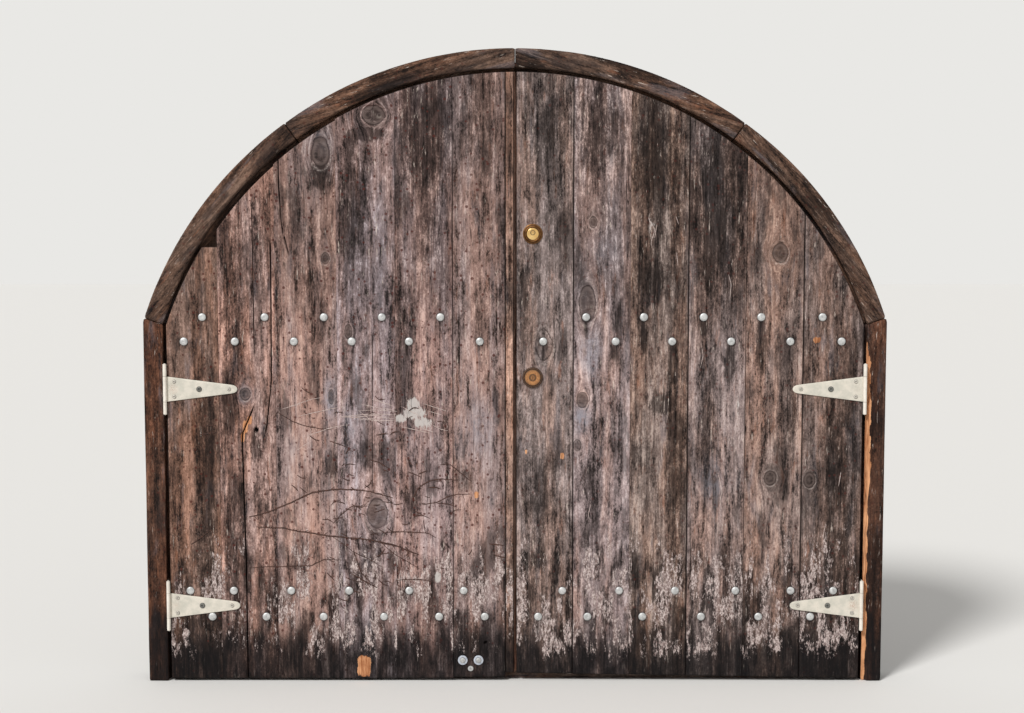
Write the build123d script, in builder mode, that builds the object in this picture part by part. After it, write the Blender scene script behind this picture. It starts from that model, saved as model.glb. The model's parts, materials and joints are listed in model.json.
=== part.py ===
# Arched pair of ledged plank leaves in a rebated timber frame, in millimetres.
# Z is up. The origin is on the floor, midway between the leaves and midway through the frame's depth.
# The front faces -Y, and both leaves swing out towards -Y on T hinges.
import os
from collections import namedtuple
from math import asin, atan2, cos, degrees, radians, sin, sqrt

from build123d import *

os.makedirs("parts", exist_ok=True)

# Arched outline of the closed leaves: upright sides and one arc over them
half_width = 1046.0
arch_spread = 57.0
arch_centre = 736.0

# Timber frame, rebated at the front for the leaves
frame_depth = 105.0
frame_width = 60.0
edge_gap = 10.0
rebate_gap = 2.0
stop_overlap = 38.0
head_pieces = 4
tenon_length = 90.0
tenon_width = 32.0
tenon_thickness = 16.0
tenon_gap = 0.2
sill_height = 30.0
fixing_radius = 5.5
fixing_y = 17.0
fixing_heights = (200.0, 900.0)

# Leaves
leaf_thickness = 32.0
meeting_gap = 9.0
sight_gap = 1.0
plank_gap = 1.5
arris = 1.5
floor_gap = 8.0
right_foot_rise = 17.0

# Each plank from the meeting edge outwards: its width, the distances of its bolts from its inner edge
# in the high and the low row of each ledge, how far its arch is cut short, and how high its foot is cut.
# Widths and distances are stretched alike where half_width asks for a wider or narrower leaf.
Plank = namedtuple("Plank", "width upper_high upper_low lower_high lower_low trim lift", defaults=(0, 0))
left_planks = (
    Plank(157.5, None, 76.5, 126.5, 63.0, 0.0, 3.0),
    Plank(172.5, 37.0, 131.5, 134.5, 44.0),
    Plank(175.5, 40.0, 130.5, 144.5, 39.0),
    Plank(184.5, 38.0, 128.5, 144.5, 47.0, 4.0),
    Plank(171.0, 31.0, 121.0, 134.0, 36.0, 8.0),
    Plank(156.0, 47.0, 103.0, 95.0, 29.0),
)
right_planks = (
    Plank(170.5, None, 80.0, 139.0, 66.0),
    Plank(171.0, 38.0, 126.5, 141.0, 45.0),
    Plank(174.0, 40.0, 125.0, 139.5, 41.0),
    Plank(172.4, 45.0, 128.0, 149.0, 45.0),
    Plank(172.6, 45.0, 133.0, 144.0, 47.0),
    Plank(181.0, 56.0, 114.0, 100.5, 32.0),
)
edge_strip_width = 24.5
edge_strip_lift = 18.0
square_top = 1321.0

# Ledges across the back and the bolts through them
ledge_height = 145.0
ledge_thickness = 32.0
ledge_end_gap = 4.0
ledge_end_bolt = 10.5
ledge_inset = 14.0
upper_ledge = 1075.0
upper_rows = 36.5
lower_ledge = 240.0
lower_rows = 40.0
Head = namedtuple("Head", "radius top rise sides")
bolt_head = Head(12.5, 8.5, 4.5, 10)
bolt_shank = 10.0
shank_gap = 0.2
nut_across = 17.0
nut_height = 8.0

# T hinges
upper_hinge_drop = 180.0
lower_hinge_drop = 5.5
hinge_to_spring = 20.0
barrel_radius = 5.7
barrel_offset = 5.0
pin_radius = 3.0
pin_gap = 0.05
pin_end = 2.0
knuckle_gap = 0.4
knuckle_height = 37.0
strap_thickness = 2.5
strap_root = 77.0
strap_length = 217.0
strap_shoulder = 196.0
strap_shoulder_height = 27.0
strap_tip = 12.0
tee_end_gap = 2.0
barrel_sides = 16
bore_sides = 12
root_screw_inset = 27.0
root_screw_spacing = 46.0
middle_screw_inset = 102.0
tip_screw_inset = 192.0
screw_head = Head(6.0, 3.5, 2.0, 8)
middle_head = Head(8.4, 5.5, 2.8, 8)
screw_shank = 5.0
screw_depth = 28.0
tee_screw_spacing = 56.0
tee_screw_radius = 4.0
tee_screw_rise = 1.2
tee_screw_depth = 39.0
tee_screw_inset = 17.0
pilot_end = 1.0

# Rim locks on the right leaf
upper_lock_gap = 176.5
lower_lock_gap = 36.5
lock_inset = 48.5
round_sides = 40
cylinder_gap = 0.3
case_inset = 1.5
case_width = 88.0
case_height = 72.0
case_depth = 28.0
case_wall = 3.0
turn_gap = 1.0
latch_width = 24.0
latch_depth = 12.0
latch_length = 28.0
latch_throw = 22.0
latch_offset = 14.0
latch_gap = 0.3
plug_gap = 0.08
cam_width = 5.0
cam_reach = 6.0
collar_edge = 2.0
cylinder_stand = 1.0
plug_stand = 0.5
turn_radius = 17.0
turn_base = 5.0
turn_wing = 13.0
turn_wing_thickness = 6.0
turn_sides = 12
keeper_clear = 6.0
keeper_inset = 3.0
key_slot = 2.2
key_slot_share = 0.7
key_slot_depth = 16.0

# The face of each lock: radii of cylinder, collar's inner rim, collar and key plug, how far the collar
# stands out, and how far the plug is above the middle
Face = namedtuple("Face", "cylinder rim collar plug stand lift")
lock_faces = {
    "upper": Face(18.0, 22.5, 30.0, 6.6, 9.0, 4.0),
    "lower": Face(25.0, 28.0, 31.0, 9.0, 6.0, 0.0),
}

# Foot bolt on the back of the left leaf
foot_x = -135.0
foot_plate_width = 80.0
foot_plate_thickness = 4.0
foot_plate_low = 34.0
foot_plate_height = 124.0
foot_guide_width = 26.0
foot_guide_height = 14.0
foot_guide_inset = 15.0
foot_guide_wall = 4.0
foot_bar = 12.0
foot_bar_gap = 0.3
foot_bar_offset = 16.0
foot_bar_to_ledge = 3.5
foot_bar_clear = 3.0
foot_socket_gap = 1.2
foot_socket_floor = 6.0
foot_knob_radius = 6.0
foot_knob_length = 16.0
foot_bolt_spacing = 48.0
foot_bolt_height = 65.0
foot_washer_radius = 15.0
foot_washer_thickness = 2.0
foot_head = Head(9.0, 6.0, 3.0, 12)
foot_screw_height = 39.0
foot_hole = (-90.0, 118.0)
foot_hole_radius = 5.0
foot_hole_depth = 20.0

# A long shake with a knot hole in the left leaf's fifth plank, as points across its front
shake = ((-732.0, 1312.0), (-751.5, 810.0), (-779.0, 771.0), (-817.0, 728.0), (-811.0, -1.0))
shake_width = 2.6
shake_depth = 14.0
knot_hole_radius = 7.0

# Split along the right jamb's inner edge: heights and how far the wood is torn away
split = (
    (0.0, 12.0), (63.0, 17.0), (126.0, 12.0), (189.0, 9.0), (226.0, 17.0), (251.0, 21.0), (300.0, 8.0),
    (466.0, 6.5), (502.0, 9.5), (650.0, 7.5), (735.0, 9.0), (847.0, 6.0), (898.0, 19.0), (934.0, 6.0),
    (946.0, 19.0), (1013.0, 13.0), (1040.0, 1.0),
)
split_depth = 11.0

# Places worked out from these sizes
arch_radius = half_width + arch_spread
rebate_depth = leaf_thickness + rebate_gap
tee_depth = rebate_depth - tee_end_gap
tee_screw_y = tee_screw_inset - frame_depth / 2
hinge_x = half_width + barrel_offset
hinge_y = -frame_depth / 2 - barrel_radius
barrel_height = strap_root + 2 * (knuckle_gap + knuckle_height)
spring_height = arch_centre + sqrt(arch_radius**2 - half_width**2)
highest_hinge = spring_height - hinge_to_spring - barrel_height / 2
hinge_heights = {
    "upper": min(upper_ledge - upper_hinge_drop, highest_hinge),
    "lower": lower_ledge - lower_hinge_drop,
}
spring_angle = degrees(asin(sqrt(arch_radius**2 - half_width**2) / arch_radius))
head_step = (180 - 2 * spring_angle) / head_pieces
head_middle = arch_radius + (edge_gap + frame_width - stop_overlap) / 2
far = 2 * (half_width + arch_radius)
meeting_edge = meeting_gap / 2
splay = meeting_gap - sight_gap
lock_x = meeting_edge + lock_inset
case_edge = meeting_edge + splay + case_inset
keeper_width = latch_throw + 2 * case_wall + keeper_clear
case_to_ledge = (ledge_height + case_height) / 2
lock_heights = {
    "upper": upper_ledge + case_to_ledge + upper_lock_gap,
    "lower": upper_ledge - case_to_ledge - lower_lock_gap,
}
turn_back = leaf_thickness + case_depth + turn_gap
foot_y = leaf_thickness + foot_bar_offset
foot_bar_low = sill_height + foot_bar_clear
foot_bar_length = lower_ledge - ledge_height / 2 - foot_bar_to_ledge - foot_bar_low


def behind(depth):
    """The upright plane that far behind the leaves' front."""
    return Plane.XZ.offset(frame_depth / 2 - depth)


def save(piece, name):
    piece.part.label = name
    export_step(piece.part, f"parts/{name}.step")


def arch_face(offset):
    """Draws the leaves' outline, moved outwards by offset, down to the floor."""
    with Locations((0, arch_centre)):
        Circle(arch_radius + offset)
    with Locations((0, arch_centre / 2)):
        Rectangle(2 * (arch_radius + offset), arch_centre)
    with Locations((0, far / 2)):
        Rectangle(2 * (half_width + offset), far, mode=Mode.INTERSECT)


def bar_between(low, high, bottom, top, mode=Mode.ADD):
    """Draws an upright rectangle from its sides and ends."""
    with Locations(((low + high) / 2, (bottom + top) / 2)):
        Rectangle(high - low, top - bottom, mode=mode)


def square_holes(points, size, depth, start=0.0):
    """Cuts square holes through the part being built, from start to depth behind the front."""
    if points:
        with BuildSketch(behind(start)) as holes:
            with Locations(*points):
                Rectangle(size, size)
        extrude(holes.sketch, amount=start - depth, mode=Mode.SUBTRACT)


def fastener(head, shank, length, seat=0.0, washer=0.0):
    """A head that narrows to its top, on a square shank, its underside at seat behind the front."""
    base = seat - washer
    with BuildPart() as piece:
        with BuildSketch(behind(base)):
            RegularPolygon(head.radius, head.sides)
        extrude(amount=head.rise)
        slope = degrees(atan2(head.radius - head.top, head.rise))
        draft(piece.faces().filter_by(Axis.Y, reverse=True), behind(base), slope)
        if washer:
            with BuildSketch(behind(base)):
                RegularPolygon(foot_washer_radius, head.sides)
            extrude(amount=-washer)
        with BuildSketch(behind(base)):
            Rectangle(shank, shank)
        extrude(amount=-washer - length)
    return piece.part


def nut(seat):
    """A square nut whose near side is at seat behind the front."""
    with BuildPart() as block:
        with BuildSketch(behind(seat)):
            Rectangle(nut_across, nut_across)
        extrude(amount=-nut_height)
    return block.part


def group(name, pieces):
    """Writes separate solids of one kind as one part: pairs of a solid and the points it stands at."""
    with BuildPart() as batch:
        for solid, points in pieces:
            with Locations(*[(x, 0, z) for x, z in points]):
                add(solid)
    save(batch, name)


def leaf_stretch(planks, start):
    return (half_width - start) / sum(plank.width for plank in planks)


def plank_edges(planks, start):
    """The inner and outer edge of each plank, measured outwards from the middle."""
    stretch = leaf_stretch(planks, start)
    edges = []
    for plank in planks:
        edges.append((start, start + stretch * plank.width))
        start += stretch * plank.width
    return edges


def ledge_reach(height):
    """How far from the middle a ledge's outer end is at that height."""
    inset = stop_overlap + ledge_end_gap
    rise = max(height - arch_centre, 0)
    return min(half_width - inset, sqrt((arch_radius - inset) ** 2 - rise**2))


def ledge_bolts(side, planks, start):
    """Where the bolts of one leaf stand, as points across the front, kept clear of the ledges' ends."""
    stretch = leaf_stretch(planks, start)
    points = []
    for plank, (inner, _) in zip(planks, plank_edges(planks, start)):
        rows = (
            (plank.upper_high, upper_ledge + upper_rows),
            (plank.upper_low, upper_ledge - upper_rows),
            (plank.lower_high, lower_ledge + lower_rows),
            (plank.lower_low, lower_ledge - lower_rows),
        )
        for inset, row in rows:
            if inset is not None:
                last = ledge_reach(row) - ledge_end_bolt
                points.append((side * min(inner + stretch * inset, last), row))
    return points


def strap_screws(side, height):
    """Where the fixings of one hinge strap stand: its small screws and its larger middle one."""
    root = side * (hinge_x - root_screw_inset)
    small = [(root, height + root_screw_spacing / 2), (root, height - root_screw_spacing / 2)]
    small.append((side * (hinge_x - tip_screw_inset), height))
    return small, (side * (hinge_x - middle_screw_inset), height)


def hinge_points(side):
    return [
        point
        for height in hinge_heights.values()
        for point in (*strap_screws(side, height)[0], strap_screws(side, height)[1])
    ]


# Frame: two jambs and a curved head of equal pieces, all cut from one rebated arch


def frame_piece(corners, joints, side=0, cuts=()):
    """One piece of the arched frame inside the corners, with a mortise at each joint angle."""
    with BuildPart() as piece:
        with BuildSketch(behind(0)):
            arch_face(edge_gap + frame_width)
        extrude(amount=-frame_depth)
        with BuildSketch(behind(0)):
            arch_face(edge_gap)
        extrude(amount=-rebate_depth, mode=Mode.SUBTRACT)
        with BuildSketch(behind(rebate_depth)):
            arch_face(-stop_overlap)
        extrude(amount=rebate_depth - frame_depth, mode=Mode.SUBTRACT)
        with BuildSketch(behind(0)):
            with BuildLine():
                Polyline(*corners, close=True)
            make_face()
        extrude(amount=-frame_depth, mode=Mode.INTERSECT)
        for angle in joints:
            with BuildSketch(tenon_plane(angle)):
                Rectangle(tenon_width + 2 * tenon_gap, tenon_thickness + 2 * tenon_gap)
            extrude(amount=tenon_length / 2 + tenon_gap, both=True, mode=Mode.SUBTRACT)
        for cut in cuts:
            cut(side)
    return piece


def ray(angle):
    return (far * cos(radians(angle)), arch_centre + far * sin(radians(angle)))


def tenon_plane(angle):
    """The joint plane across the frame at an angle above the arch's centre."""
    out = (cos(radians(angle)), 0, sin(radians(angle)))
    middle = (head_middle * out[0], rebate_depth / 2, arch_centre + head_middle * out[2])
    return Plane(origin=middle, x_dir=out, z_dir=(-out[2], 0, out[0]))


def fixing_holes(side):
    """Cuts the holes for the wall fixings through the jamb being built."""
    with BuildSketch(Plane.YZ.offset(side * (half_width - 2 * stop_overlap))) as holes:
        with Locations(*[(fixing_y, height) for height in fixing_heights]):
            Circle(fixing_radius)
    extrude(holes.sketch, amount=side * (frame_width + 4 * stop_overlap), mode=Mode.SUBTRACT)


def tee_screw_points(height):
    return [height + along * tee_screw_spacing for along in (-1, 0, 1)]


def tee_screw_holes(side):
    """Cuts square pilot holes for the cross leaves' screws in the jamb being built."""
    with BuildSketch(Plane.YZ.offset(side * (half_width + edge_gap))) as holes:
        for height in hinge_heights.values():
            with Locations(*[(tee_screw_y, z) for z in tee_screw_points(height)]):
                Rectangle(screw_shank + shank_gap, screw_shank + shank_gap)
    extrude(holes.sketch, amount=side * (tee_screw_depth + pilot_end), mode=Mode.SUBTRACT)


def split_cut(side):
    """Cuts the torn strip out of the inner edge of the jamb being built."""
    inner = half_width + edge_gap
    with BuildSketch(behind(0)) as torn:
        with BuildLine():
            edge = [(side * (inner + width), height) for height, width in split]
            Polyline((side * half_width, split[0][0]), *edge, (side * half_width, split[-1][0]), close=True)
        make_face()
    extrude(torn.sketch, amount=-split_depth, mode=Mode.SUBTRACT)


joint_angles = [spring_angle + step * head_step for step in range(head_pieces + 1)]

jamb_cuts = {
    -1: (fixing_holes, tee_screw_holes),
    1: (fixing_holes, tee_screw_holes, split_cut),
}

for side, name in ((-1, "left_jamb"), (1, "right_jamb")):
    joint = spring_angle if side > 0 else 180 - spring_angle
    corners = ((0, arch_centre), ray(joint), (side * far, 0), (0, 0))
    save(frame_piece(corners, (joint,), side, jamb_cuts[side]), name)

for number in range(head_pieces):
    start, end = joint_angles[number], joint_angles[number + 1]
    corners = ((0, arch_centre), ray(start), ray((start + end) / 2), ray(end))
    save(frame_piece(corners, (start, end)), f"head_piece_{number + 1}")

with BuildPart() as tenons:
    for angle in joint_angles:
        with BuildSketch(tenon_plane(angle)):
            Rectangle(tenon_width, tenon_thickness)
        extrude(amount=tenon_length / 2, both=True)
save(tenons, "head_tenons")

sill_inner = half_width - stop_overlap
with BuildPart() as sill:
    with BuildSketch(behind(rebate_depth)):
        bar_between(-sill_inner, sill_inner, 0, sill_height)
    extrude(amount=rebate_depth - frame_depth)
    with BuildSketch(Plane.XY.offset(foot_socket_floor)):
        with Locations((foot_x, foot_y - frame_depth / 2)):
            Rectangle(foot_bar + 2 * foot_socket_gap, foot_bar + 2 * foot_socket_gap)
    extrude(amount=sill_height - foot_socket_floor, mode=Mode.SUBTRACT)
save(sill, "sill")


# Leaves: planks side by side, two ledges behind them and the bolts that hold both together


def splayed_edge(side):
    """Cuts the meeting edge of the plank being built on a slant, so that the gap can't be seen through."""
    front = (side * meeting_edge, -frame_depth / 2)
    back = (side * meeting_edge + splay, leaf_thickness - frame_depth / 2)
    with BuildSketch(Plane.XY) as waste:
        with BuildLine():
            Polyline(front, back, (-side * far, back[1]), (-side * far, front[1]), close=True)
        make_face()
    extrude(waste.sketch, amount=far, mode=Mode.SUBTRACT)


def make_plank(side, inner, outer, trim, lift, rise, ends, bolts, cuts=()):
    """One plank cut to the arch. ends says whether its inner and outer edges meet another plank."""
    low = inner + plank_gap / 2 if ends[0] else inner - splay * (side < 0)
    high = outer - plank_gap / 2 * ends[1]
    feet = [floor_gap + lift + rise * (1 - edge / half_width) for edge in (low, high)]
    with BuildPart() as plank:
        with BuildSketch(behind(0)):
            arch_face(-trim)
            with BuildLine():
                outline = ((low, feet[0]), (high, feet[1]), (high, far), (low, far))
                Polyline(*[(side * x, z) for x, z in outline], close=True)
            make_face(mode=Mode.INTERSECT)
        extrude(amount=-leaf_thickness)
        if not ends[0]:
            splayed_edge(side)
        front = plank.faces().sort_by(Axis.Y)[0]
        chamfer(front.edges().filter_by(Axis.Z), arris)
        inside = [point for point in bolts if low < side * point[0] < high]
        square_holes(inside, bolt_shank + shank_gap, leaf_thickness)
        screws = [point for point in hinge_points(side) if low < side * point[0] < high]
        square_holes(screws, screw_shank + shank_gap, screw_depth)
        for cut in cuts:
            cut()
    return plank


def make_ledge(side, height, rows, bolts):
    """A ledge across one leaf's back, its outer end cut to clear the frame."""
    with BuildPart() as ledge:
        with BuildSketch(behind(leaf_thickness)):
            arch_face(-stop_overlap - ledge_end_gap)
            low, high = sorted((side * (meeting_edge + ledge_inset), side * far))
            bar_between(low, high, height - ledge_height / 2, height + ledge_height / 2, Mode.INTERSECT)
        extrude(amount=-ledge_thickness)
        back = ledge.faces().sort_by(Axis.Y)[-1]
        chamfer(back.edges().filter_by(Axis.X), arris * 2)
        mine = [point for point in bolts if abs(point[1] - height) <= rows]
        square_holes(mine, bolt_shank + shank_gap, leaf_thickness + ledge_thickness, leaf_thickness)
    return ledge


ledge_back = leaf_thickness + ledge_thickness
ledge_bolt = fastener(bolt_head, bolt_shank, ledge_back)
screw_reach = strap_thickness + screw_depth
small_screw = fastener(screw_head, screw_shank, screw_reach, -strap_thickness)
large_screw = fastener(middle_head, screw_shank, screw_reach, -strap_thickness)


def lock_bores():
    """Cuts the holes for the lock cylinders in the plank being built."""
    with BuildSketch(behind(0)) as bores:
        for level, height in lock_heights.items():
            with Locations((lock_x, height)):
                Circle(lock_faces[level].cylinder + cylinder_gap)
    extrude(bores.sketch, amount=-leaf_thickness, mode=Mode.SUBTRACT)


def shake_cut():
    """Cuts the long shake and its knot hole in the plank being built."""
    with BuildSketch(behind(0)) as crack:
        with BuildLine() as line:
            Polyline(*shake)
        trace(line.line, shake_width)
        with Locations(shake[2]):
            Circle(knot_hole_radius)
    extrude(crack.sketch, amount=-shake_depth, mode=Mode.SUBTRACT)


def square_top_cut():
    """Cuts the top of the plank being built off square."""
    with BuildSketch(behind(0)) as waste:
        bar_between(-far, 0, square_top, far)
    extrude(waste.sketch, amount=-leaf_thickness, mode=Mode.SUBTRACT)


def foot_cuts():
    """Cuts the holes of the foot bolt's fixings in the plank being built."""
    square_holes(foot_bolt_points, bolt_shank + shank_gap, leaf_thickness)
    square_holes([(foot_x, foot_screw_height)], screw_shank + shank_gap, screw_depth)
    with BuildSketch(behind(0)) as hole:
        with Locations(foot_hole):
            Circle(foot_hole_radius)
    extrude(hole.sketch, amount=-foot_hole_depth, mode=Mode.SUBTRACT)


foot_bolt_points = [(foot_x + way * foot_bolt_spacing / 2, foot_bolt_height) for way in (-1, 1)]

plank_cuts = {
    "left_plank_1": (foot_cuts,),
    "left_plank_5": (shake_cut,),
    "left_plank_6": (square_top_cut,),
    "right_plank_1": (lock_bores,),
}
leaves = {
    "left": (-1, left_planks, meeting_edge + edge_strip_width, 0.0),
    "right": (1, right_planks, meeting_edge, right_foot_rise),
}
for leaf, (side, planks, start, rise) in leaves.items():
    bolts = ledge_bolts(side, planks, start)
    for number, (plank, edges) in enumerate(zip(planks, plank_edges(planks, start)), 1):
        ends = (edges[0] > meeting_edge, number < len(planks))
        name = f"{leaf}_plank_{number}"
        cuts = plank_cuts.get(name, ())
        save(make_plank(side, *edges, plank.trim, plank.lift, rise, ends, bolts, cuts), name)
    for name, height, rows in (("upper", upper_ledge, upper_rows), ("lower", lower_ledge, lower_rows)):
        save(make_ledge(side, height, rows, bolts), f"{leaf}_{name}_ledge")
    group(f"{leaf}_bolts", [(ledge_bolt, bolts)])
    group(f"{leaf}_nuts", [(nut(ledge_back), bolts)])
    screws = [strap_screws(side, height) for height in hinge_heights.values()]
    small = [point for points, _ in screws for point in points]
    large = [point for _, point in screws]
    group(f"{leaf}_strap_screws", [(small_screw, small), (large_screw, large)])

strip = make_plank(
    -1, meeting_edge, meeting_edge + edge_strip_width, 0.0, edge_strip_lift, 0.0, (False, True), ()
)
save(strip, "left_edge_strip")


# T hinges: a tapered strap on the leaf, a cross leaf folded into the gap, and one pin through both


def hinge_bore(x, height, tall):
    """Bores the knuckles of the hinge leaf being built for its pin."""
    with BuildSketch(Plane.XY.offset(height - tall / 2)) as bore:
        with Locations((x, hinge_y)):
            RegularPolygon(pin_radius + pin_gap, bore_sides, major_radius=False)
    extrude(bore.sketch, amount=tall, mode=Mode.SUBTRACT)


def knuckle(x, low, tall):
    """Adds a knuckle to the hinge leaf being built."""
    with BuildSketch(Plane.XY.offset(low)) as barrel:
        with Locations((x, hinge_y)):
            RegularPolygon(barrel_radius, barrel_sides)
    extrude(barrel.sketch, amount=tall)


def make_strap(side, height):
    """The strap with its long knuckle, tapering to a rounded tip."""
    x = side * hinge_x
    half = strap_root / 2
    tip = strap_length - strap_tip / 2
    with BuildPart() as strap:
        with BuildSketch(behind(-strap_thickness)):
            with BuildLine():
                upper = [(0, half), (strap_shoulder, strap_shoulder_height / 2), (tip, strap_tip / 2)]
                top = [(x - side * along, height + up) for along, up in upper]
                bottom = [(x - side * along, height - up) for along, up in upper]
                Polyline(*top)
                ThreePointArc(top[-1], (x - side * strap_length, height), bottom[-1])
                Polyline(*reversed(bottom))
                Line(bottom[0], top[0])
            make_face()
        extrude(amount=-strap_thickness)
        knuckle(x, height - half, strap_root)
        hinge_bore(x, height, strap_root)
        small, large = strap_screws(side, height)
        square_holes([*small, large], screw_shank + shank_gap, 0.0, -strap_thickness)
    return strap


def make_tee(side, height):
    """The cross leaf: a plate on the jamb's inner face with a knuckle above and below the strap's."""
    x = side * hinge_x
    face = side * (half_width + edge_gap)
    low = height - barrel_height / 2
    with BuildPart() as tee:
        with BuildSketch(Plane.XY.offset(low)):
            with Locations((face - side * strap_thickness / 2, hinge_y + (barrel_radius + tee_depth) / 2)):
                Rectangle(strap_thickness, barrel_radius + tee_depth)
        extrude(amount=barrel_height)
        knuckle(x, low, barrel_height)
        with BuildSketch(Plane.XY.offset(height - strap_root / 2 - knuckle_gap)):
            with Locations((x, hinge_y)):
                Rectangle(2 * edge_gap, 2 * (barrel_radius + knuckle_gap))
        extrude(amount=strap_root + 2 * knuckle_gap, mode=Mode.SUBTRACT)
        hinge_bore(x, height, barrel_height)
        with BuildSketch(Plane.YZ.offset(face)):
            with Locations(*[(tee_screw_y, z) for z in tee_screw_points(height)]):
                Rectangle(screw_shank + shank_gap, screw_shank + shank_gap)
        extrude(amount=-side * strap_thickness, mode=Mode.SUBTRACT)
    return tee


def make_tee_screws():
    """Flat-headed screws through the cross leaves into both jambs."""
    with BuildPart() as screws:
        for side in (-1, 1):
            head = side * (half_width + edge_gap - strap_thickness)
            for height in hinge_heights.values():
                for z in tee_screw_points(height):
                    with BuildSketch(Plane.YZ.offset(head)):
                        with Locations((tee_screw_y, z)):
                            Rectangle(screw_shank, screw_shank)
                    extrude(amount=side * (strap_thickness + tee_screw_depth))
                    with BuildSketch(Plane.YZ.offset(head)):
                        with Locations((tee_screw_y, z)):
                            RegularPolygon(tee_screw_radius, screw_head.sides)
                    extrude(amount=-side * tee_screw_rise)
    return screws


def make_pins():
    """One pin for each hinge, standing out a little at both ends."""
    with BuildPart() as pins:
        for side in (-1, 1):
            for height in hinge_heights.values():
                with BuildSketch(Plane.XY.offset(height - barrel_height / 2 - pin_end)):
                    with Locations((side * hinge_x, hinge_y)):
                        Circle(pin_radius)
                extrude(amount=barrel_height + 2 * pin_end)
    return pins


for side, leaf in ((-1, "left"), (1, "right")):
    for level, height in hinge_heights.items():
        save(make_strap(side, height), f"{level}_{leaf}_strap")
        save(make_tee(side, height), f"{level}_{leaf}_cross_leaf")
save(make_tee_screws(), "cross_leaf_screws")
save(make_pins(), "hinge_pins")


# Rim locks: a keyed cylinder in a collar on the front, and a case with a sliding latch on the back


def make_collar(face, height):
    """A turned collar, sloping from its rim down to the plank."""
    with BuildPart() as collar:
        with BuildSketch(behind(0)):
            with Locations((lock_x, height)):
                RegularPolygon(face.collar, round_sides)
        extrude(amount=face.stand)
        outer = collar.faces().sort_by(Axis.Y)[0].edges()
        chamfer(outer, face.stand - collar_edge, face.collar - face.rim)
        with BuildSketch(behind(0)):
            with Locations((lock_x, height)):
                RegularPolygon(face.cylinder + cylinder_gap, round_sides)
        extrude(amount=face.stand, mode=Mode.SUBTRACT)
    return collar


def make_cylinder(face, height):
    """The fixed cylinder, from inside the collar through the plank, bored for the plug."""
    front = -face.stand - cylinder_stand
    with BuildPart() as cylinder:
        with BuildSketch(behind(front)):
            with Locations((lock_x, height)):
                RegularPolygon(face.cylinder, round_sides)
            with Locations((lock_x, height + face.lift)):
                Circle(face.plug + plug_gap, mode=Mode.SUBTRACT)
        extrude(amount=front - leaf_thickness)
    return cylinder


def make_plug(face, height):
    """The turning plug with its key slot, running through the case, and its cam."""
    centre = (lock_x, height + face.lift)
    front = -face.stand - cylinder_stand - plug_stand
    with BuildPart() as plug:
        with BuildSketch(behind(front)):
            with Locations(centre):
                Circle(face.plug)
        extrude(amount=front - turn_back)
        with BuildSketch(behind(front)):
            with Locations(centre):
                Rectangle(key_slot, 2 * face.plug * key_slot_share)
        extrude(amount=-key_slot_depth, mode=Mode.SUBTRACT)
        with BuildSketch(behind(leaf_thickness + latch_offset - latch_depth / 2)):
            with Locations((centre[0], centre[1] + face.plug)):
                Rectangle(cam_width, 2 * cam_reach)
        extrude(amount=-latch_depth)
    return plug


def make_case(face, height):
    """The lock's case: a shell on the leaf's back, slotted for the latch and bored for the plug."""
    low = case_edge
    with BuildPart() as case:
        with BuildSketch(behind(leaf_thickness)):
            bar_between(low, low + case_width, height - case_height / 2, height + case_height / 2)
        extrude(amount=-case_depth)
        chamfer(case.faces().sort_by(Axis.Y)[-1].edges(), arris)
        with BuildSketch(behind(leaf_thickness)):
            inside = case_height / 2 - case_wall
            bar_between(low + case_wall, low + case_width - case_wall, height - inside, height + inside)
        extrude(amount=case_wall - case_depth, mode=Mode.SUBTRACT)
        with BuildSketch(behind(leaf_thickness)):
            with Locations((lock_x, height + face.lift)):
                Circle(face.plug + plug_gap)
        extrude(amount=-case_depth, mode=Mode.SUBTRACT)
        latch_box(low - case_wall, low + 2 * case_wall, height, latch_gap, Mode.SUBTRACT)
    return case


def latch_box(low, high, height, gap, mode=Mode.ADD):
    """A block of the latch's section, with that gap round it, between two places across the leaf."""
    half = latch_width / 2 + gap
    with BuildSketch(behind(leaf_thickness + latch_offset - latch_depth / 2 - gap)) as section:
        bar_between(low, high, height - half, height + half)
    extrude(section.sketch, amount=-latch_depth - 2 * gap, mode=mode)


def make_latch(height):
    with BuildPart() as latch:
        latch_box(case_edge, case_edge + latch_length, height, 0)
    return latch


def make_turn(face, height):
    """The turn on the plug's end: a flat base with a wing to hold."""
    with BuildPart() as turn:
        with BuildSketch(behind(turn_back)):
            with Locations((lock_x, height + face.lift)):
                RegularPolygon(turn_radius, turn_sides)
        extrude(amount=-turn_base)
        with BuildSketch(behind(turn_back + turn_base)):
            with Locations((lock_x, height + face.lift)):
                Rectangle(turn_wing_thickness, 2 * turn_radius - turn_wing_thickness)
        extrude(amount=-turn_wing)
    return turn


def make_keeper(height):
    """The box on the left leaf's back that the latch enters."""
    high = splay - meeting_edge - keeper_inset
    low = high - keeper_width
    inside = case_height / 2 - case_wall
    with BuildPart() as keeper:
        with BuildSketch(behind(leaf_thickness)):
            bar_between(low, high, height - case_height / 2, height + case_height / 2)
        extrude(amount=-case_depth)
        chamfer(keeper.faces().sort_by(Axis.Y)[-1].edges(), arris)
        with BuildSketch(behind(leaf_thickness)):
            bar_between(low + case_wall, high - case_wall, height - inside, height + inside)
        extrude(amount=case_wall - case_depth, mode=Mode.SUBTRACT)
        latch_box(high - 2 * case_wall, high + case_wall, height, 3 * latch_gap, Mode.SUBTRACT)
    return keeper


for level, face in lock_faces.items():
    height = lock_heights[level]
    save(make_collar(face, height), f"{level}_lock_collar")
    save(make_cylinder(face, height), f"{level}_lock_cylinder")
    save(make_plug(face, height), f"{level}_lock_plug")
    save(make_case(face, height), f"{level}_lock_case")
    save(make_latch(height), f"{level}_lock_latch")
    save(make_turn(face, height), f"{level}_lock_turn")
    save(make_keeper(height), f"{level}_keeper")


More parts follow.
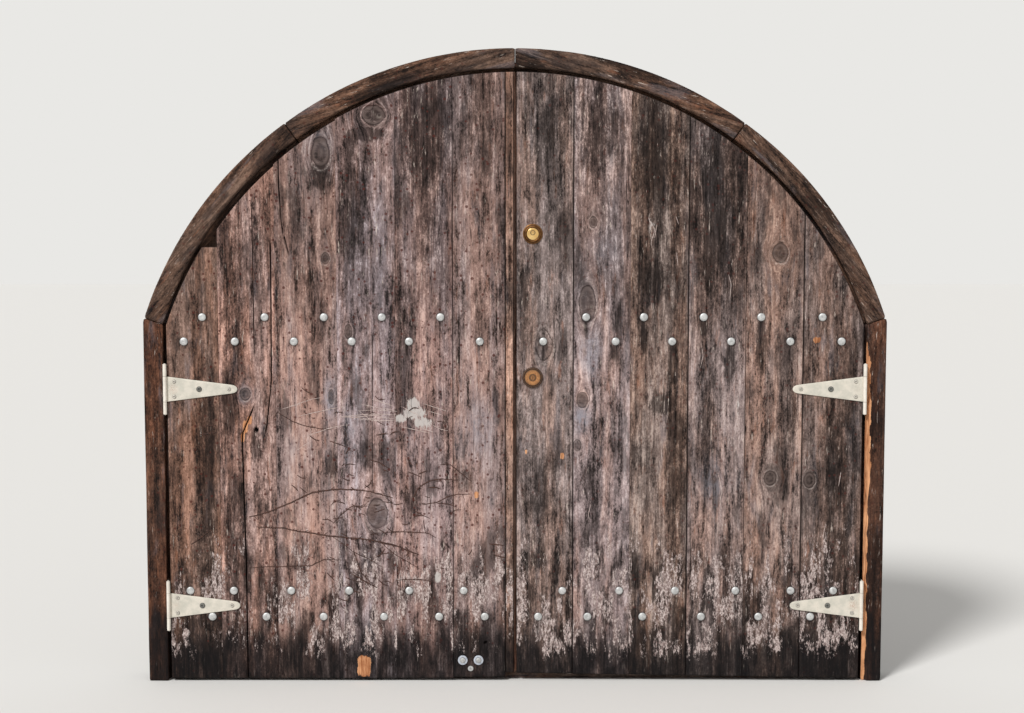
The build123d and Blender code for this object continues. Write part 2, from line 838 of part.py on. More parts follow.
# Foot bolt: a plate with two guides, the bar that drops into the sill, and its fixings

foot_back = leaf_thickness + foot_plate_thickness
foot_guides = (
    foot_plate_low + foot_guide_inset + foot_guide_height / 2,
    foot_plate_low + foot_plate_height - foot_guide_inset - foot_guide_height / 2,
)
guide_depth = foot_bar_offset + foot_bar / 2 + foot_guide_wall
with BuildPart() as foot_plate:
    with BuildSketch(behind(leaf_thickness)):
        half = foot_plate_width / 2
        bar_between(foot_x - half, foot_x + half, foot_plate_low, foot_plate_low + foot_plate_height)
    extrude(amount=-foot_plate_thickness)
    with BuildSketch(behind(foot_back)):
        with Locations(*[(foot_x, z) for z in foot_guides]):
            Rectangle(foot_guide_width, foot_guide_height)
    extrude(amount=foot_plate_thickness - guide_depth)
    with BuildSketch(Plane.XY.offset(foot_plate_low)):
        with Locations((foot_x, foot_y - frame_depth / 2)):
            Rectangle(foot_bar + 2 * foot_bar_gap, foot_bar + 2 * foot_bar_gap)
    extrude(amount=foot_plate_height, mode=Mode.SUBTRACT)
    square_holes(foot_bolt_points, bolt_shank + shank_gap, foot_back, leaf_thickness)
save(foot_plate, "foot_bolt_plate")

with BuildPart() as foot_bolt_bar:
    with BuildSketch(Plane.XY.offset(foot_bar_low)):
        with Locations((foot_x, foot_y - frame_depth / 2)):
            Rectangle(foot_bar, foot_bar)
    extrude(amount=foot_bar_length)
    with BuildSketch(behind(foot_y + foot_bar / 2)):
        with Locations((foot_x, sum(foot_guides) / 2 + foot_bar)):
            Circle(foot_knob_radius)
    extrude(amount=-foot_knob_length)
save(foot_bolt_bar, "foot_bolt_bar")

foot_bolt = fastener(foot_head, bolt_shank, foot_back, washer=foot_washer_thickness)
foot_screw = fastener(foot_head, screw_shank, screw_depth)
fixings = [
    (foot_bolt, foot_bolt_points),
    (nut(foot_back), foot_bolt_points),
    (foot_screw, [(foot_x, foot_screw_height)]),
]
group("foot_bolt_fixings", fixings)
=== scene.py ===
import json
import math
from types import SimpleNamespace

import bmesh
import bpy
import numpy as np
from mathutils import Matrix, Vector
from mathutils.bvhtree import BVHTree


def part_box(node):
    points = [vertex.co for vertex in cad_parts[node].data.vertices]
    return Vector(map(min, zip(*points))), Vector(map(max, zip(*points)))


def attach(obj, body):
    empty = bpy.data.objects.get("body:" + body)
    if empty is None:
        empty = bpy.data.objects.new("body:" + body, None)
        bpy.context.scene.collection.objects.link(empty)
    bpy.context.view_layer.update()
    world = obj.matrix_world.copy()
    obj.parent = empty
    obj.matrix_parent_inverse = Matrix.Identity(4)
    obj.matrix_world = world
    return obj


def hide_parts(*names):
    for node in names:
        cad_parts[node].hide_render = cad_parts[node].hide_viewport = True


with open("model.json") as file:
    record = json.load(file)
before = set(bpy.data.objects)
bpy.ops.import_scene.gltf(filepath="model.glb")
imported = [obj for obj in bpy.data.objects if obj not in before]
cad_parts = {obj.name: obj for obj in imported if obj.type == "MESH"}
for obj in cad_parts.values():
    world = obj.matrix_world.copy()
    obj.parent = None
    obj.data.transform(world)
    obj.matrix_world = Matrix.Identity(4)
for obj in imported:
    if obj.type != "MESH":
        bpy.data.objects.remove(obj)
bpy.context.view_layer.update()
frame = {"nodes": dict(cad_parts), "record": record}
nodes = frame["nodes"]
bodyOf = {node: body for body, members in frame["record"]["behaviour"]["bodies"].items() for node in members}
scene = bpy.context.scene
print("door loaded:", len(nodes), "nodes")

mm = 0.001
leaves, levels = ("left", "right"), ("upper", "lower")
# sizes of the door, in metres, as the solids have them
door = {
    "front": -0.0525,  # the planks' face
    "thick": 0.032,
    "halfWidth": 1.046,
    "archRadius": 1.103,
    "archCentre": 0.736,
    "floorGap": 0.008,
    "footRise": 0.017,  # how much the right leaf's foot climbs to the middle
}
view = {
    "place": (-0.009, -5.0275, 1.411),
    "tilt": 85.2,
    "lean": (0.9965, 0.0837),  # the tilt's sine and cosine
    "lens": 58.5,
    "centre": (514.7, 356.5),  # the pixel that the camera looks at
    "focal": 1664.0,  # the lens in pixels
    "away": 4.975,  # from the planks' face
    "pixel": 0.00299,  # what one pixel spans there
}


def atPixel(across, down):
    # where a pixel of the photograph lies on the planks' face, in metres
    level, fall = view["lean"]
    drop = (down - view["centre"][1]) / view["focal"]
    depth = level - fall * drop
    height = view["place"][2] + view["away"] * (-fall - level * drop) / depth
    return (across - view["centre"][0]) * view["pixel"] / depth, height


def makeCamera():
    data = bpy.data.cameras.new("doorCamera")
    data.sensor_width = 36
    data.lens = view["lens"]
    data.clip_end = 200
    eye = bpy.data.objects.new("doorCamera", data)
    eye.location = view["place"]
    eye.rotation_euler = (math.radians(view["tilt"]), 0, 0)
    scene.collection.objects.link(eye)
    scene.camera = eye


# nodes: a signal is a node's output that can be added, subtracted and multiplied
class Signal:
    def __init__(self, socket):
        self.socket = socket

    def __add__(self, other):
        return calc("ADD", self, other)

    def __sub__(self, other):
        return calc("SUBTRACT", self, other)

    def __rsub__(self, other):
        return calc("SUBTRACT", other, self)

    def __mul__(self, other):
        return calc("MULTIPLY", self, other)

    def __abs__(self):
        return calc("ABSOLUTE", self)


def treeOf(*values):
    return next(value for value in values if isinstance(value, Signal)).socket.id_data


def wire(node, values):
    for name, value in values.items():
        if isinstance(value, Signal):
            node.id_data.links.new(value.socket, node.inputs[name])
        else:
            node.inputs[name].default_value = value


def put(tree, kind, inputs=None, **settings):
    made = tree.nodes.new("ShaderNode" + kind)
    for name, value in settings.items():
        setattr(made, name, value)
    wire(made, inputs or {})
    return made


def read(tree, kind, output=0, inputs=None, **settings):
    return Signal(put(tree, kind, inputs, **settings).outputs[output])


def calc(way, *values):
    return read(treeOf(*values), "Math", 0, dict(enumerate(values)), operation=way)


def clip(signal):  # keeps a sum between 0 and 1
    signal.socket.node.use_clamp = True
    return signal


def blend(amount, under, over, way="MIX"):
    inputs = {0: amount, 6: under, 7: over}
    return read(treeOf(amount, under, over), "Mix", 2, inputs, data_type="RGBA", blend_type=way)


def ease(value, low, high, under=0.0, over=1.0):
    inputs = {"Value": value, "From Min": low, "From Max": high, "To Min": under, "To Max": over}
    return read(treeOf(value), "MapRange", 0, inputs, interpolation_type="SMOOTHSTEP")


def noise(place, stretch, detail=4.0, roughness=0.6):
    tree = treeOf(place)
    spread = read(tree, "Mapping", 0, {"Vector": place, "Scale": stretch}, vector_type="POINT")
    inputs = {"Vector": spread, "Scale": 1.0, "Detail": detail, "Roughness": roughness}
    return read(tree, "TexNoise", 0, inputs)


def cellsIn(place, scale, part):  # each cell's own chance, and how far a spot is from its middle
    cells = put(treeOf(place), "TexVoronoi", {"Vector": place, "Scale": scale}, feature="F1")
    chance = read(treeOf(place), "SeparateColor", part, {"Color": Signal(cells.outputs["Color"])})
    return chance, Signal(cells.outputs["Distance"])


def readMark(tree, name, output="Fac"):
    return read(tree, "Attribute", output, attribute_name=name)


def tint(red, green, blue):  # a colour as it shows on screen, for the shader
    parts = [part / 255 for part in (red, green, blue)]
    return (*[p / 12.92 if p <= 0.04045 else ((p + 0.055) / 1.055) ** 2.4 for p in parts], 1.0)


def newGroup(title, inputs, outputs):  # an input without a value is a place
    tree = bpy.data.node_groups.new(title, "ShaderNodeTree")
    for name, value in inputs.items():
        kind = "Vector" if value is None else "Color" if isinstance(value, tuple) else "Float"
        socket = tree.interface.new_socket(name, in_out="INPUT", socket_type="NodeSocket" + kind)
        if value is not None:
            socket.default_value = value
    for name in outputs:
        kind = "Color" if name == "Color" else "Float"
        tree.interface.new_socket(name, in_out="OUTPUT", socket_type="NodeSocket" + kind)
    start = tree.nodes.new("NodeGroupInput")
    return tree, {name: Signal(start.outputs[name]) for name in inputs}, tree.nodes.new("NodeGroupOutput")


def useGroup(tree, group, inputs):
    return {socket.name: Signal(socket) for socket in put(tree, "Group", inputs, node_tree=group).outputs}


def newTree(title):
    material = bpy.data.materials.new(title)
    material.use_nodes = True
    return material.node_tree


def coat(tree, made, strength, distance):  # colour, roughness and bump on a material's own shader
    shader = tree.nodes["Principled BSDF"]
    bump = read(tree, "Bump", 0, {"Strength": strength, "Distance": distance, "Height": made["Height"]})
    wire(shader, {"Base Color": made["Color"], "Roughness": made["Roughness"], "Normal": bump})
    return shader


stageLook = {
    "floor": (219, 217, 213), "size": 30.0, "sky": (233, 232, 229), "skyLight": 0.5,
    "sun": 2.9, "softness": 14.0, "from": (-0.55, -0.75, 0.85),
}


def makeStage():
    mesh = bpy.data.meshes.new("floor")
    size = stageLook["size"]
    corners = [(-size, -size, 0), (size, -size, 0), (size, size, 0), (-size, size, 0)]
    mesh.from_pydata(corners, [], [(0, 1, 2, 3)])
    floor = bpy.data.objects.new("floor", mesh)
    scene.collection.objects.link(floor)
    tree = newTree("stage floor")
    wire(tree.nodes["Principled BSDF"], {"Base Color": tint(*stageLook["floor"]), "Roughness": 0.9})
    mesh.materials.append(bpy.data.materials["stage floor"])

    world = bpy.data.worlds.new("studio")
    scene.world = world
    world.use_nodes = True
    tree = world.node_tree
    tree.nodes.clear()
    path = {socket.name: Signal(socket) for socket in put(tree, "LightPath").outputs}
    seen = clip(path["Is Camera Ray"] + path["Is Glossy Ray"] + path["Is Transmission Ray"])
    lit = read(tree, "Background", 0, {"Color": (1, 1, 1, 1), "Strength": stageLook["skyLight"]})
    shown = read(tree, "Background", 0, {"Color": tint(*stageLook["sky"]), "Strength": 1.0})
    put(tree, "OutputWorld", {0: read(tree, "MixShader", 0, {0: seen, 1: lit, 2: shown})})

    lamp = bpy.data.lights.new("keyLamp", "SUN")
    lamp.energy = stageLook["sun"]
    lamp.angle = math.radians(stageLook["softness"])
    key = bpy.data.objects.new("keyLamp", lamp)
    key.rotation_euler = Vector(stageLook["from"]).to_track_quat("Z", "Y").to_euler()
    scene.collection.objects.link(key)


makeCamera()
makeStage()
scene.view_settings.view_transform = "Standard"
print("camera and stage ready")


# wood: fibre and weather, shared by planks, ledges and frame
def fibreGroup():
    outputs = ("Fibre", "Bands", "Streaks", "Checks", "Flakes", "Specks", "Grit", "Mottle", "Smudge", "Flecks")
    tree, given, end = newGroup("Wood fibre", {"Place": None, "Seed": 0.0}, outputs)
    shift = read(tree, "CombineXYZ", 0, {0: given["Seed"] * 1.37, 2: given["Seed"] * 2.3})
    place = read(tree, "VectorMath", 0, {0: given["Place"], 1: shift}, operation="ADD")
    fibre = noise(place, (230, 150, 10), 5, 0.72) * 0.38 + noise(place, (105, 100, 27), 4, 0.68) * 0.3
    fibre = fibre + noise(place, (60, 60, 2.7), 4, 0.6) * 0.32
    thin = abs(noise(place, (64, 60, 2.6), 2.5, 0.5) - 0.5)
    where = ease(noise(place, (24, 22, 4.1), 2, 0.5), 0.48, 0.6)
    grit = noise(place, (260, 240, 150), 5, 0.75)
    chance, away = cellsIn(place, 62.0, 0)
    wire(end, {
        "Fibre": clip((fibre - 0.5) * 2.7 + 0.5),
        "Bands": calc("PINGPONG", noise(place, (7.5, 9, 0.75), 1.5, 0.45) * 30.0, 1.0),
        "Streaks": noise(place, (30, 30, 1.5), 7, 0.72),
        "Checks": ease(thin, 0.011, 0.002) * where,
        "Flakes": noise(place, (118, 90, 38), 8, 0.82),
        "Specks": ease(chance * 0.4 + (grit * 0.3 - 0.27) - away, -0.04, 0.03),
        "Grit": grit,
        "Mottle": noise(place, (46, 42, 15), 9, 0.8),
        "Smudge": noise(place, (15, 13, 5), 5, 0.68),
        "Flecks": noise(place, (170, 150, 21), 5, 0.7),
    })
    return tree


boardFinish = {"contrast": 1.1, "bump": 0.55, "bumpDepth": 0.0016, "specular": 0.12}
boardColors = {
    "cold": (116, 111, 116), "rusty": (150, 98, 72), "smudge": (44, 37, 36), "cool": (136, 139, 150),
    "stain": (17, 13, 12), "speck": (74, 36, 30), "fleck": (206, 190, 178), "ringDark": (56, 47, 44),
    "ringPale": (98, 85, 80), "heart": (27, 22, 21), "knotEdge": (46, 37, 35), "knotRim": (186, 172, 164),
    "scraped": (194, 187, 182), "soot": (19, 17, 18), "flakeDark": (124, 104, 100),
    "flakePale": (216, 200, 194), "freshDark": (142, 84, 50), "freshPale": (224, 166, 122),
    # the drip colour also paints a shadow round each bolt; the last, near-black colour paints shade in cracks,
    # checks, holes and along the joints
    "drip": (38, 31, 30), "crack": (15, 11, 10),
}


def boardGroup(fibreTree):
    inputs = {
        "Seed": 0.0, "Pale": tint(176, 156, 150), "Middle": tint(140, 118, 112), "Deep": tint(56, 44, 40),
        "Stain": 0.4, "Specks": 0.4,
    }
    tree, given, end = newGroup("Weathered board", inputs, ("Color", "Roughness", "Height"))
    place = readMark(tree, "grainPlace", "Vector")
    made = useGroup(tree, fibreTree, {"Seed": given["Seed"], "Place": place})
    parts = ("Fibre", "Streaks", "Mottle", "Grit", "Flakes")
    fibre, streaks, mottle, grit, flakes = (made[part] for part in parts)
    outside = 1.0 - readMark(tree, "inside")
    paint = {name: tint(*color) for name, color in boardColors.items()}
    # fibre lines between three colours of wood
    lines = fibre - 0.5
    for part, weight in ((made["Bands"], 0.1), (streaks, 1.3), (mottle, 2.1), (grit, 1.3)):
        lines = lines + (part - 0.5) * weight
    lines = lines * boardFinish["contrast"] + 0.5
    color = blend(ease(lines, -0.05, 0.5), given["Deep"], given["Middle"])
    color = blend(ease(lines, 0.5, 1.05), color, given["Pale"])
    # warm, cold and rusty drifts along the board
    drift = ease(noise(place, (17, 14, 2.2), 4, 0.62), 0.4, 0.62)
    color = blend(1.0, color, blend(drift, (0.95, 1.0, 1.04, 1), (1.08, 0.975, 0.9, 1)), "MULTIPLY")
    cold = ease(noise(place, (26, 20, 4.5), 4, 0.6), 0.55, 0.68) * outside
    color = blend(cold * 0.38, color, paint["cold"])
    rusty = ease(noise(place, (48, 40, 7), 5, 0.7), 0.58, 0.68) * outside
    color = blend(rusty * 0.42, color, paint["rusty"])
    # grey smudges that pay no heed to the grain
    sooty = ease(made["Smudge"] - (mottle - 0.5) * 0.5, 0.47, 0.35, 0.0, 0.68) * outside
    color = blend(sooty, color, paint["smudge"])
    cool = readMark(tree, "cool") * ease(mottle, 0.38, 0.56, 0.25, 1.0)
    color = blend(cool * 0.75, color, paint["cool"])
    # a board's top, darkened as painted shade, spares its palest lines
    tone = readMark(tree, "tone")
    tone = (1.0 - tone) * ease(lines, 0.62, 1.15, 0.0, 0.75) + tone
    shade = read(tree, "CombineColor", 0, {0: tone, 1: tone, 2: tone})
    color = blend(1.0, color, shade, "MULTIPLY")
    # black stains between the streaks
    cover = 1.46 - streaks * 0.75 + (given["Stain"] * 0.15 + readMark(tree, "dark") * 0.28)
    stain = ease(cover - (grit * 0.3 + mottle * 0.75), 0.56, 0.86) * outside * clip(fibre * -0.55 + 1.1)
    color = blend(stain * 0.94, color, paint["stain"])
    color = blend(made["Specks"] * given["Specks"] * outside, color, paint["speck"])
    # pale splinters that catch the light
    flecks = ease(made["Flecks"], 0.61, 0.69) * ease(made["Smudge"], 0.4, 0.6, 0.15, 0.8)
    color = blend(flecks * outside, color, paint["fleck"])
    # knots: mottled grey hearts, a dark edge and a pale rim round them, painted as a highlight
    knot = readMark(tree, "knot") + (flakes - 0.5) * 0.3 + (mottle - 0.5) * 0.9
    ring = calc("PINGPONG", grit * 0.5 + knot * 1.7, 0.5)
    knotColor = blend(ease(ring, 0.08, 0.44), paint["ringDark"], paint["ringPale"])
    heart = readMark(tree, "heart") * ease(knot, 1.02, 0.5)
    knotColor = blend(heart, knotColor, paint["heart"])
    inKnot = ease(knot, 1.12, 0.86) * readMark(tree, "fill")
    color = blend(inKnot * 0.68, color, knotColor)
    edge = ease(abs(knot - 0.98), 0.08, 0.015) * ease(mottle, 0.42, 0.56, 0.35, 0.85)
    color = blend(edge, color, paint["knotEdge"])
    rimHighlight = ease(abs(knot - 1.2), 0.14, 0.02) * ease(grit, 0.46, 0.56, 0.1, 0.6)
    color = blend(rimHighlight * readMark(tree, "rimHighlight"), color, paint["knotRim"])
    # pale scraped wood
    scraped = ease(mottle * 0.9 + (readMark(tree, "pale") * 0.5 + flakes), 1.19, 1.29)
    color = blend(scraped * 0.85, color, paint["scraped"])
    # rot that climbs from the floor
    soot = readMark(tree, "foot") + (mottle - 0.5) * 2.2 + (streaks - 0.5) * 0.9
    soot = ease(soot, 0.2, 0.95) * clip(fibre * -0.3 + 1.05)
    color = blend(soot * 0.95, color, paint["soot"])
    # what is left of a pale coat, in small ragged flakes
    flake = readMark(tree, "flake")
    peeled = ease(flake * 0.2 + flakes, 0.635, 0.68) * ease(flake, 0.03, 0.25)
    flakeColor = blend(ease(grit, 0.4, 0.62), paint["flakeDark"], paint["flakePale"])
    color = blend(peeled * 0.9, color, flakeColor)
    # freshly broken wood
    fresh = readMark(tree, "fresh")
    fresh = ease(((flakes - 0.5) * 2.4 + fresh) * ease(fresh, 0.05, 0.3), 0.36, 0.56)
    color = blend(fresh, color, blend(ease(fibre, 0.15, 0.85), paint["freshDark"], paint["freshPale"]))
    # what seeps under the bolts and the painted shadow round each bolt, then checks and cracks
    seepAndShadow = ease(fibre * 0.35 + mottle * 0.9, 0.76, 0.52, 0.15, 1.0)
    color = blend(readMark(tree, "drip") * seepAndShadow, color, paint["drip"])
    # checks, cracks, holes and joints are painted near-black as shade, and sunk in the bump
    split = calc("MAXIMUM", made["Checks"] * outside * 0.75, readMark(tree, "crack"))
    height = grit * 0.5 + fibre - split * 0.9 + peeled * 0.3
    color = blend(split, color, paint["crack"])
    wire(end, {"Color": color, "Roughness": fibre * -0.2 + 0.97, "Height": height})
    return tree


boardTree = boardGroup(fibreGroup())


def boardMaterial(title, look):
    tree = newTree(title)
    values = dict(zip(("Pale", "Middle", "Deep"), (tint(*color) for color in look["wood"])))
    values.update({"Seed": look["seed"], "Stain": look["stain"], "Specks": look["specks"]})
    shader = coat(tree, useGroup(tree, boardTree, values), boardFinish["bump"], boardFinish["bumpDepth"])
    shader.inputs["Specular IOR Level"].default_value = boardFinish["specular"]


# meshes: marks on their points, and what makes a mesh a piece of the door
def setMark(mesh, name, values):
    values = np.asarray(values, np.float32)
    kind, part = ("FLOAT", "value") if values.ndim == 1 else ("FLOAT_VECTOR", "vector")
    mesh.attributes.new(name, kind, "POINT").data.foreach_set(part, values.ravel())


def coordsOf(mesh):
    co = np.zeros(len(mesh.vertices) * 3, np.float32)
    mesh.vertices.foreach_get("co", co)
    return co.reshape(-1, 3)


def smoothFaces(mesh, sharp=None):
    mesh.polygons.foreach_set("use_smooth", np.ones(len(mesh.polygons), bool))
    if sharp:
        mesh.set_sharp_from_angle(angle=math.radians(sharp))


def addPiece(title, mesh, materials, node=None, body=None):
    mesh.materials.clear()
    for material in materials:
        mesh.materials.append(bpy.data.materials[material])
    piece = bpy.data.objects.new(title, mesh)
    scene.collection.objects.link(piece)
    if node:
        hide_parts(node)
    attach(piece, body or bodyOf[node])
    return piece


# soft random fields for relief
def softField(maker, across, up, stepAcross, stepUp):
    left, low = across.min() - stepAcross, up.min() - stepUp
    columns = int((across.max() - left) / stepAcross) + 3
    rows = int((up.max() - low) / stepUp) + 3
    lattice = maker.random((rows, columns))
    gx, gz = (across - left) / stepAcross, (up - low) / stepUp
    i, j = gx.astype(int), gz.astype(int)
    fx, fz = gx - i, gz - j
    fx, fz = fx * fx * (3 - 2 * fx), fz * fz * (3 - 2 * fz)
    lower = lattice[j, i] * (1 - fx) + lattice[j, i + 1] * fx
    upper = lattice[j + 1, i] * (1 - fx) + lattice[j + 1, i + 1] * fx
    return lower * (1 - fz) + upper * fz


def layered(maker, across, up, fields):
    return sum(softField(maker, across, up, *steps) * weight for *steps, weight in fields)


def stepped(low, high, step, extras):  # even steps, which give way to the extra ones
    places = np.linspace(low, high, max(2, int(round((high - low) / step)) + 1))
    extras = [extra for extra in extras if low < extra < high]
    for extra in extras:
        places = places[(abs(places - extra) > 0.0004) | (places == low) | (places == high)]
    return np.unique(np.concatenate([places, extras]))


def smooth(values, low, high):
    share = np.clip((values - low) / (high - low), 0, 1)
    return share * share * (3 - 2 * share)


# Planks. Wood is pale, middle and deep. Marks are (across, down, width, height, strength) in the
# photograph's pixels, where a knot may add how bright its rim is. Tight sides hide a joint.
boards = {
    "left_edge_strip": {
        "wood": ((225, 183, 162), (161, 127, 111), (64, 44, 35)),
        "stain": 0.2, "specks": 0.3, "top": 0.9, "seed": 13,
        "meeting": {1: (-0.0045, 0.0097)}, "closing": (0.0007, 0),
    },
    "left_plank_1": {
        "wood": ((196, 172, 165), (155, 130, 124), (60, 47, 42)),
        "stain": 0.35, "specks": 0.8, "top": 0.7, "seed": 1,
        "tight": (0.4, 0), "boltHole": (-0.09, 0.118, 0.005, 0.016),
        "dark": [
            (478, 120, 22, 60, 0.5), (470, 640, 22, 18, 0.9), (464, 480, 9, 14, 0.8), (478, 320, 12, 40, 0.4),
        ],
        "fresh": [(476.5, 494.7, 2.4, 3.6, 0.75)], "cool": [(480, 430, 14, 34, 0.6)],
    },
    "left_plank_2": {
        "wood": ((206, 181, 175), (161, 135, 131), (61, 48, 45)),
        "stain": 0.4, "specks": 0.8, "top": 0.54, "seed": 2,
        "tight": (1.38, 0.4),
        "pale": [
            (413, 404, 8, 7, 0.9), (415, 413, 14, 8, 0.95), (422, 422, 12, 7, 0.85), (402, 418, 12, 5, 0.8),
            (437.4, 577.5, 3.4, 6, 1.2),
        ],
        "dark": [
            (424, 130, 28, 70, 1.0), (408, 320, 14, 40, 0.5), (440, 450, 6, 20, 0.4), (436, 572, 8, 16, 0.7),
            (424, 230, 12, 40, 0.5), (412, 500, 9, 18, 0.6),
        ],
    },
    "left_plank_3": {
        "wood": ((213, 194, 194), (165, 142, 140), (64, 53, 51)),
        "stain": 0.45, "specks": 0.8, "top": 0.6, "seed": 3,
        "tight": (1.38, 1.38),
        "knots": [(373, 115, 24, 20, 0.5, 0.2), (377, 513, 22, 31, 0.6), (348, 332, 8, 15, 0.4)],
        "dark": [
            (372, 116, 15, 12, 0.7), (366, 134, 19, 6, 1.4), (350, 146, 6, 14, 0.8), (352, 200, 14, 60, 0.6),
            (366, 455, 8, 14, 1.0), (384, 450, 6, 12, 0.7), (372, 560, 14, 34, 0.6), (343, 540, 8, 20, 0.6),
        ],
        "fresh": [(364, 666, 7, 11, 0.95)], "cool": [(346, 430, 5, 40, 0.6), (380, 250, 10, 60, 0.35)],
        "cracks": [([372, 300, 372, 490, 374, 560], [(330, 492, 0.0012, 0.006)])],
    },
    "left_plank_4": {
        "wood": ((200, 174, 165), (164, 136, 129), (62, 50, 46)),
        "stain": 0.4, "specks": 0.8, "top": 0.58, "seed": 4,
        "tight": (1.35, 1.38), "trim": 0.004,
        "knots": [(320, 152, 18, 30, 0.35), (325, 258, 8, 12, 0.6), (331, 397, 6, 15, 0.9)],
        "dark": [(320, 176, 12, 14, 1.1), (315, 300, 18, 60, 0.4), (331, 465, 5, 14, 1.3), (300, 560, 12, 24, 0.5)],
        "pale": [(300, 215, 10, 60, 0.2)], "cool": [(330, 398, 7, 22, 0.9), (322, 145, 14, 30, 0.5)],
        "cracks": [
            ([277, 130, 278, 185, 281, 225, 283, 235, 289, 258, 292, 400], [(130, 262, 0.0024, 0.012)]),
        ],
    },
    "left_plank_5": {
        "wood": ((214, 178, 166), (150, 119, 109), (58, 45, 42)),
        "stain": 0.5, "specks": 0.8, "top": 0.9, "seed": 5,
        "tight": (1.2, 1.35), "trim": 0.008, "flaking": 0.5, "knotHole": (256, 430, 0.0075, 0.014),
        "knots": [(245, 394, 11, 13, 0.5)], "cool": [(245, 394, 9, 12, 0.7)],
        "fresh": [
            (249, 420, 2.2, 4, 1.3), (245, 427, 2.4, 6, 1.3), (242.5, 437, 2, 5, 1.2), (213, 372, 5, 12, 0.3),
        ],
        "dark": [
            (232, 300, 12, 90, 0.4), (255, 448, 8, 14, 0.9), (228, 405, 9, 34, 0.9), (232, 540, 10, 50, 0.6),
            (262, 500, 10, 30, 0.5),
        ],
        "cracks": [
            (
                [251, 190, 254, 358, 254, 405, 247.5, 421, 242.5, 433, 242, 444, 246, 560, 248, 678],
                [(205, 358, 0.0016, 0.008), (404, 700, 0.0036, 0.014)],
            ),
            ([270, 235, 271, 380, 269, 403, 265, 437, 264, 678], [(240, 436, 0.003, 0.012)]),
        ],
    },
    "left_plank_6": {
        "wood": ((168, 135, 120), (118, 92, 80), (44, 33, 29)),
        "stain": 0.6, "specks": 0.8, "top": 0.95, "seed": 6,
        "tight": (0, 1.2), "closing": (0, 0.0007), "highest": 1.321,
        "dark": [(208, 470, 7, 120, 0.7), (180, 620, 14, 30, 0.5)],
    },
    "right_plank_1": {
        "wood": ((188, 166, 159), (134, 116, 110), (50, 41, 39)),
        "stain": 0.6, "specks": 0.4, "top": 0.86, "seed": 7,
        "meeting": {0: (0.0045, 0.008)}, "closing": (0, 0.0007),
        "knots": [(543.5, 345, 17, 32, 0.02), (523, 615.6, 10, 10, 0.05)], "pale": [(523, 616, 4, 5, 0.5)],
        "fresh": [(562, 456, 1.8, 2.8, 1.3), (526, 452, 1.2, 3, 0.9)],
        "dark": [
            (523, 300, 5, 34, 0.9), (526, 275, 8, 20, 0.6), (548, 120, 18, 40, 0.5), (540, 500, 14, 50, 0.55),
        ],
    },
    "right_plank_2": {
        "wood": ((215, 193, 188), (165, 142, 138), (59, 49, 47)),
        "stain": 0.5, "specks": 0.4, "top": 0.56, "seed": 8,
        "tight": (0, 1.3),
        "knots": [
            (587, 303, 17, 38, 0.75), (593, 222, 8, 12, 0.6), (582, 400, 11, 16, 0.5), (577, 445, 8, 12, 0.6),
        ],
        "dark": [(600, 130, 24, 50, 0.7), (586, 480, 10, 24, 0.6), (618, 322, 3, 16, 1.2), (614, 352, 4, 7, 1.2)],
        "cool": [(592, 350, 13, 26, 0.8), (581, 418, 9, 16, 1.0), (600, 250, 16, 20, 0.45)],
    },
    "right_plank_3": {
        "wood": ((182, 159, 147), (129, 108, 99), (47, 37, 34)),
        "stain": 0.65, "specks": 0.45, "top": 0.62, "seed": 9,
        "tight": (1.3, 0),
        "pale": [(651, 228, 5, 16, 0.42), (640, 520, 7, 40, 0.2)],
        "dark": [
            (660, 150, 24, 60, 0.8), (676, 480, 10, 60, 0.7), (662, 404, 12, 10, 1.4), (676, 428, 9, 14, 1.6),
            (673, 366, 5, 18, 1.0), (644, 338, 4, 14, 1.0), (655, 280, 20, 20, 0.6), (640, 455, 14, 20, 0.6),
        ],
    },
    "right_plank_4": {
        "wood": ((196, 173, 165), (147, 126, 120), (49, 40, 38)),
        "stain": 0.5, "specks": 0.45, "top": 0.5, "seed": 10,
        "tight": (0, 0.6),
        "cool": [(712, 480, 16, 26, 0.5)], "pale": [(725, 560, 8, 40, 0.3), (738, 404, 1.5, 18, 0.6)],
        "dark": [(715, 200, 26, 90, 0.9), (705, 420, 10, 60, 0.5), (730, 362, 5, 18, 1.5), (703, 328, 4, 9, 1.5)],
    },
    "right_plank_5": {
        "wood": ((192, 166, 154), (143, 119, 110), (52, 42, 39)),
        "stain": 0.45, "specks": 0.5, "top": 0.8, "seed": 11,
        "tight": (0.6, 0), "knots": [(780, 253, 15, 20, 0.5), (770, 478, 12, 15, 0.5)],
        "dark": [(761, 345, 6, 24, 1.2), (775, 140, 20, 40, 0.7), (790, 420, 9, 40, 0.5)],
        "pale": [(770, 300, 14, 30, 0.16)],
    },
    "right_plank_6": {
        "wood": ((160, 138, 130), (113, 95, 88), (44, 35, 33)),
        "stain": 0.7, "specks": 0.5, "top": 1.0, "seed": 12,
        "closing": (0.0007, 0),
        "knots": [(809, 480, 11, 16, 0.5)], "fresh": [(817, 340, 4, 3, 0.9)],
        "dark": [(840, 500, 14, 120, 0.6)],
    },
}
boardMesh = {
    "column": 0.003, "row": 0.006, "nearSide": (0.0006, 0.0016, 0.003, 0.0048), "nearEnd": (0.0008, 0.002),
    "edge": 0.0026, "grain": 0.0008, "deepest": 0.02, "crackBand": 0.004,
    "closing": (0.0007, 0.0007), "tighter": 0.0005,  # how much the sides close, and a tight one's share
    "shelf": 0.009,  # the depth down to which the front is worn
}

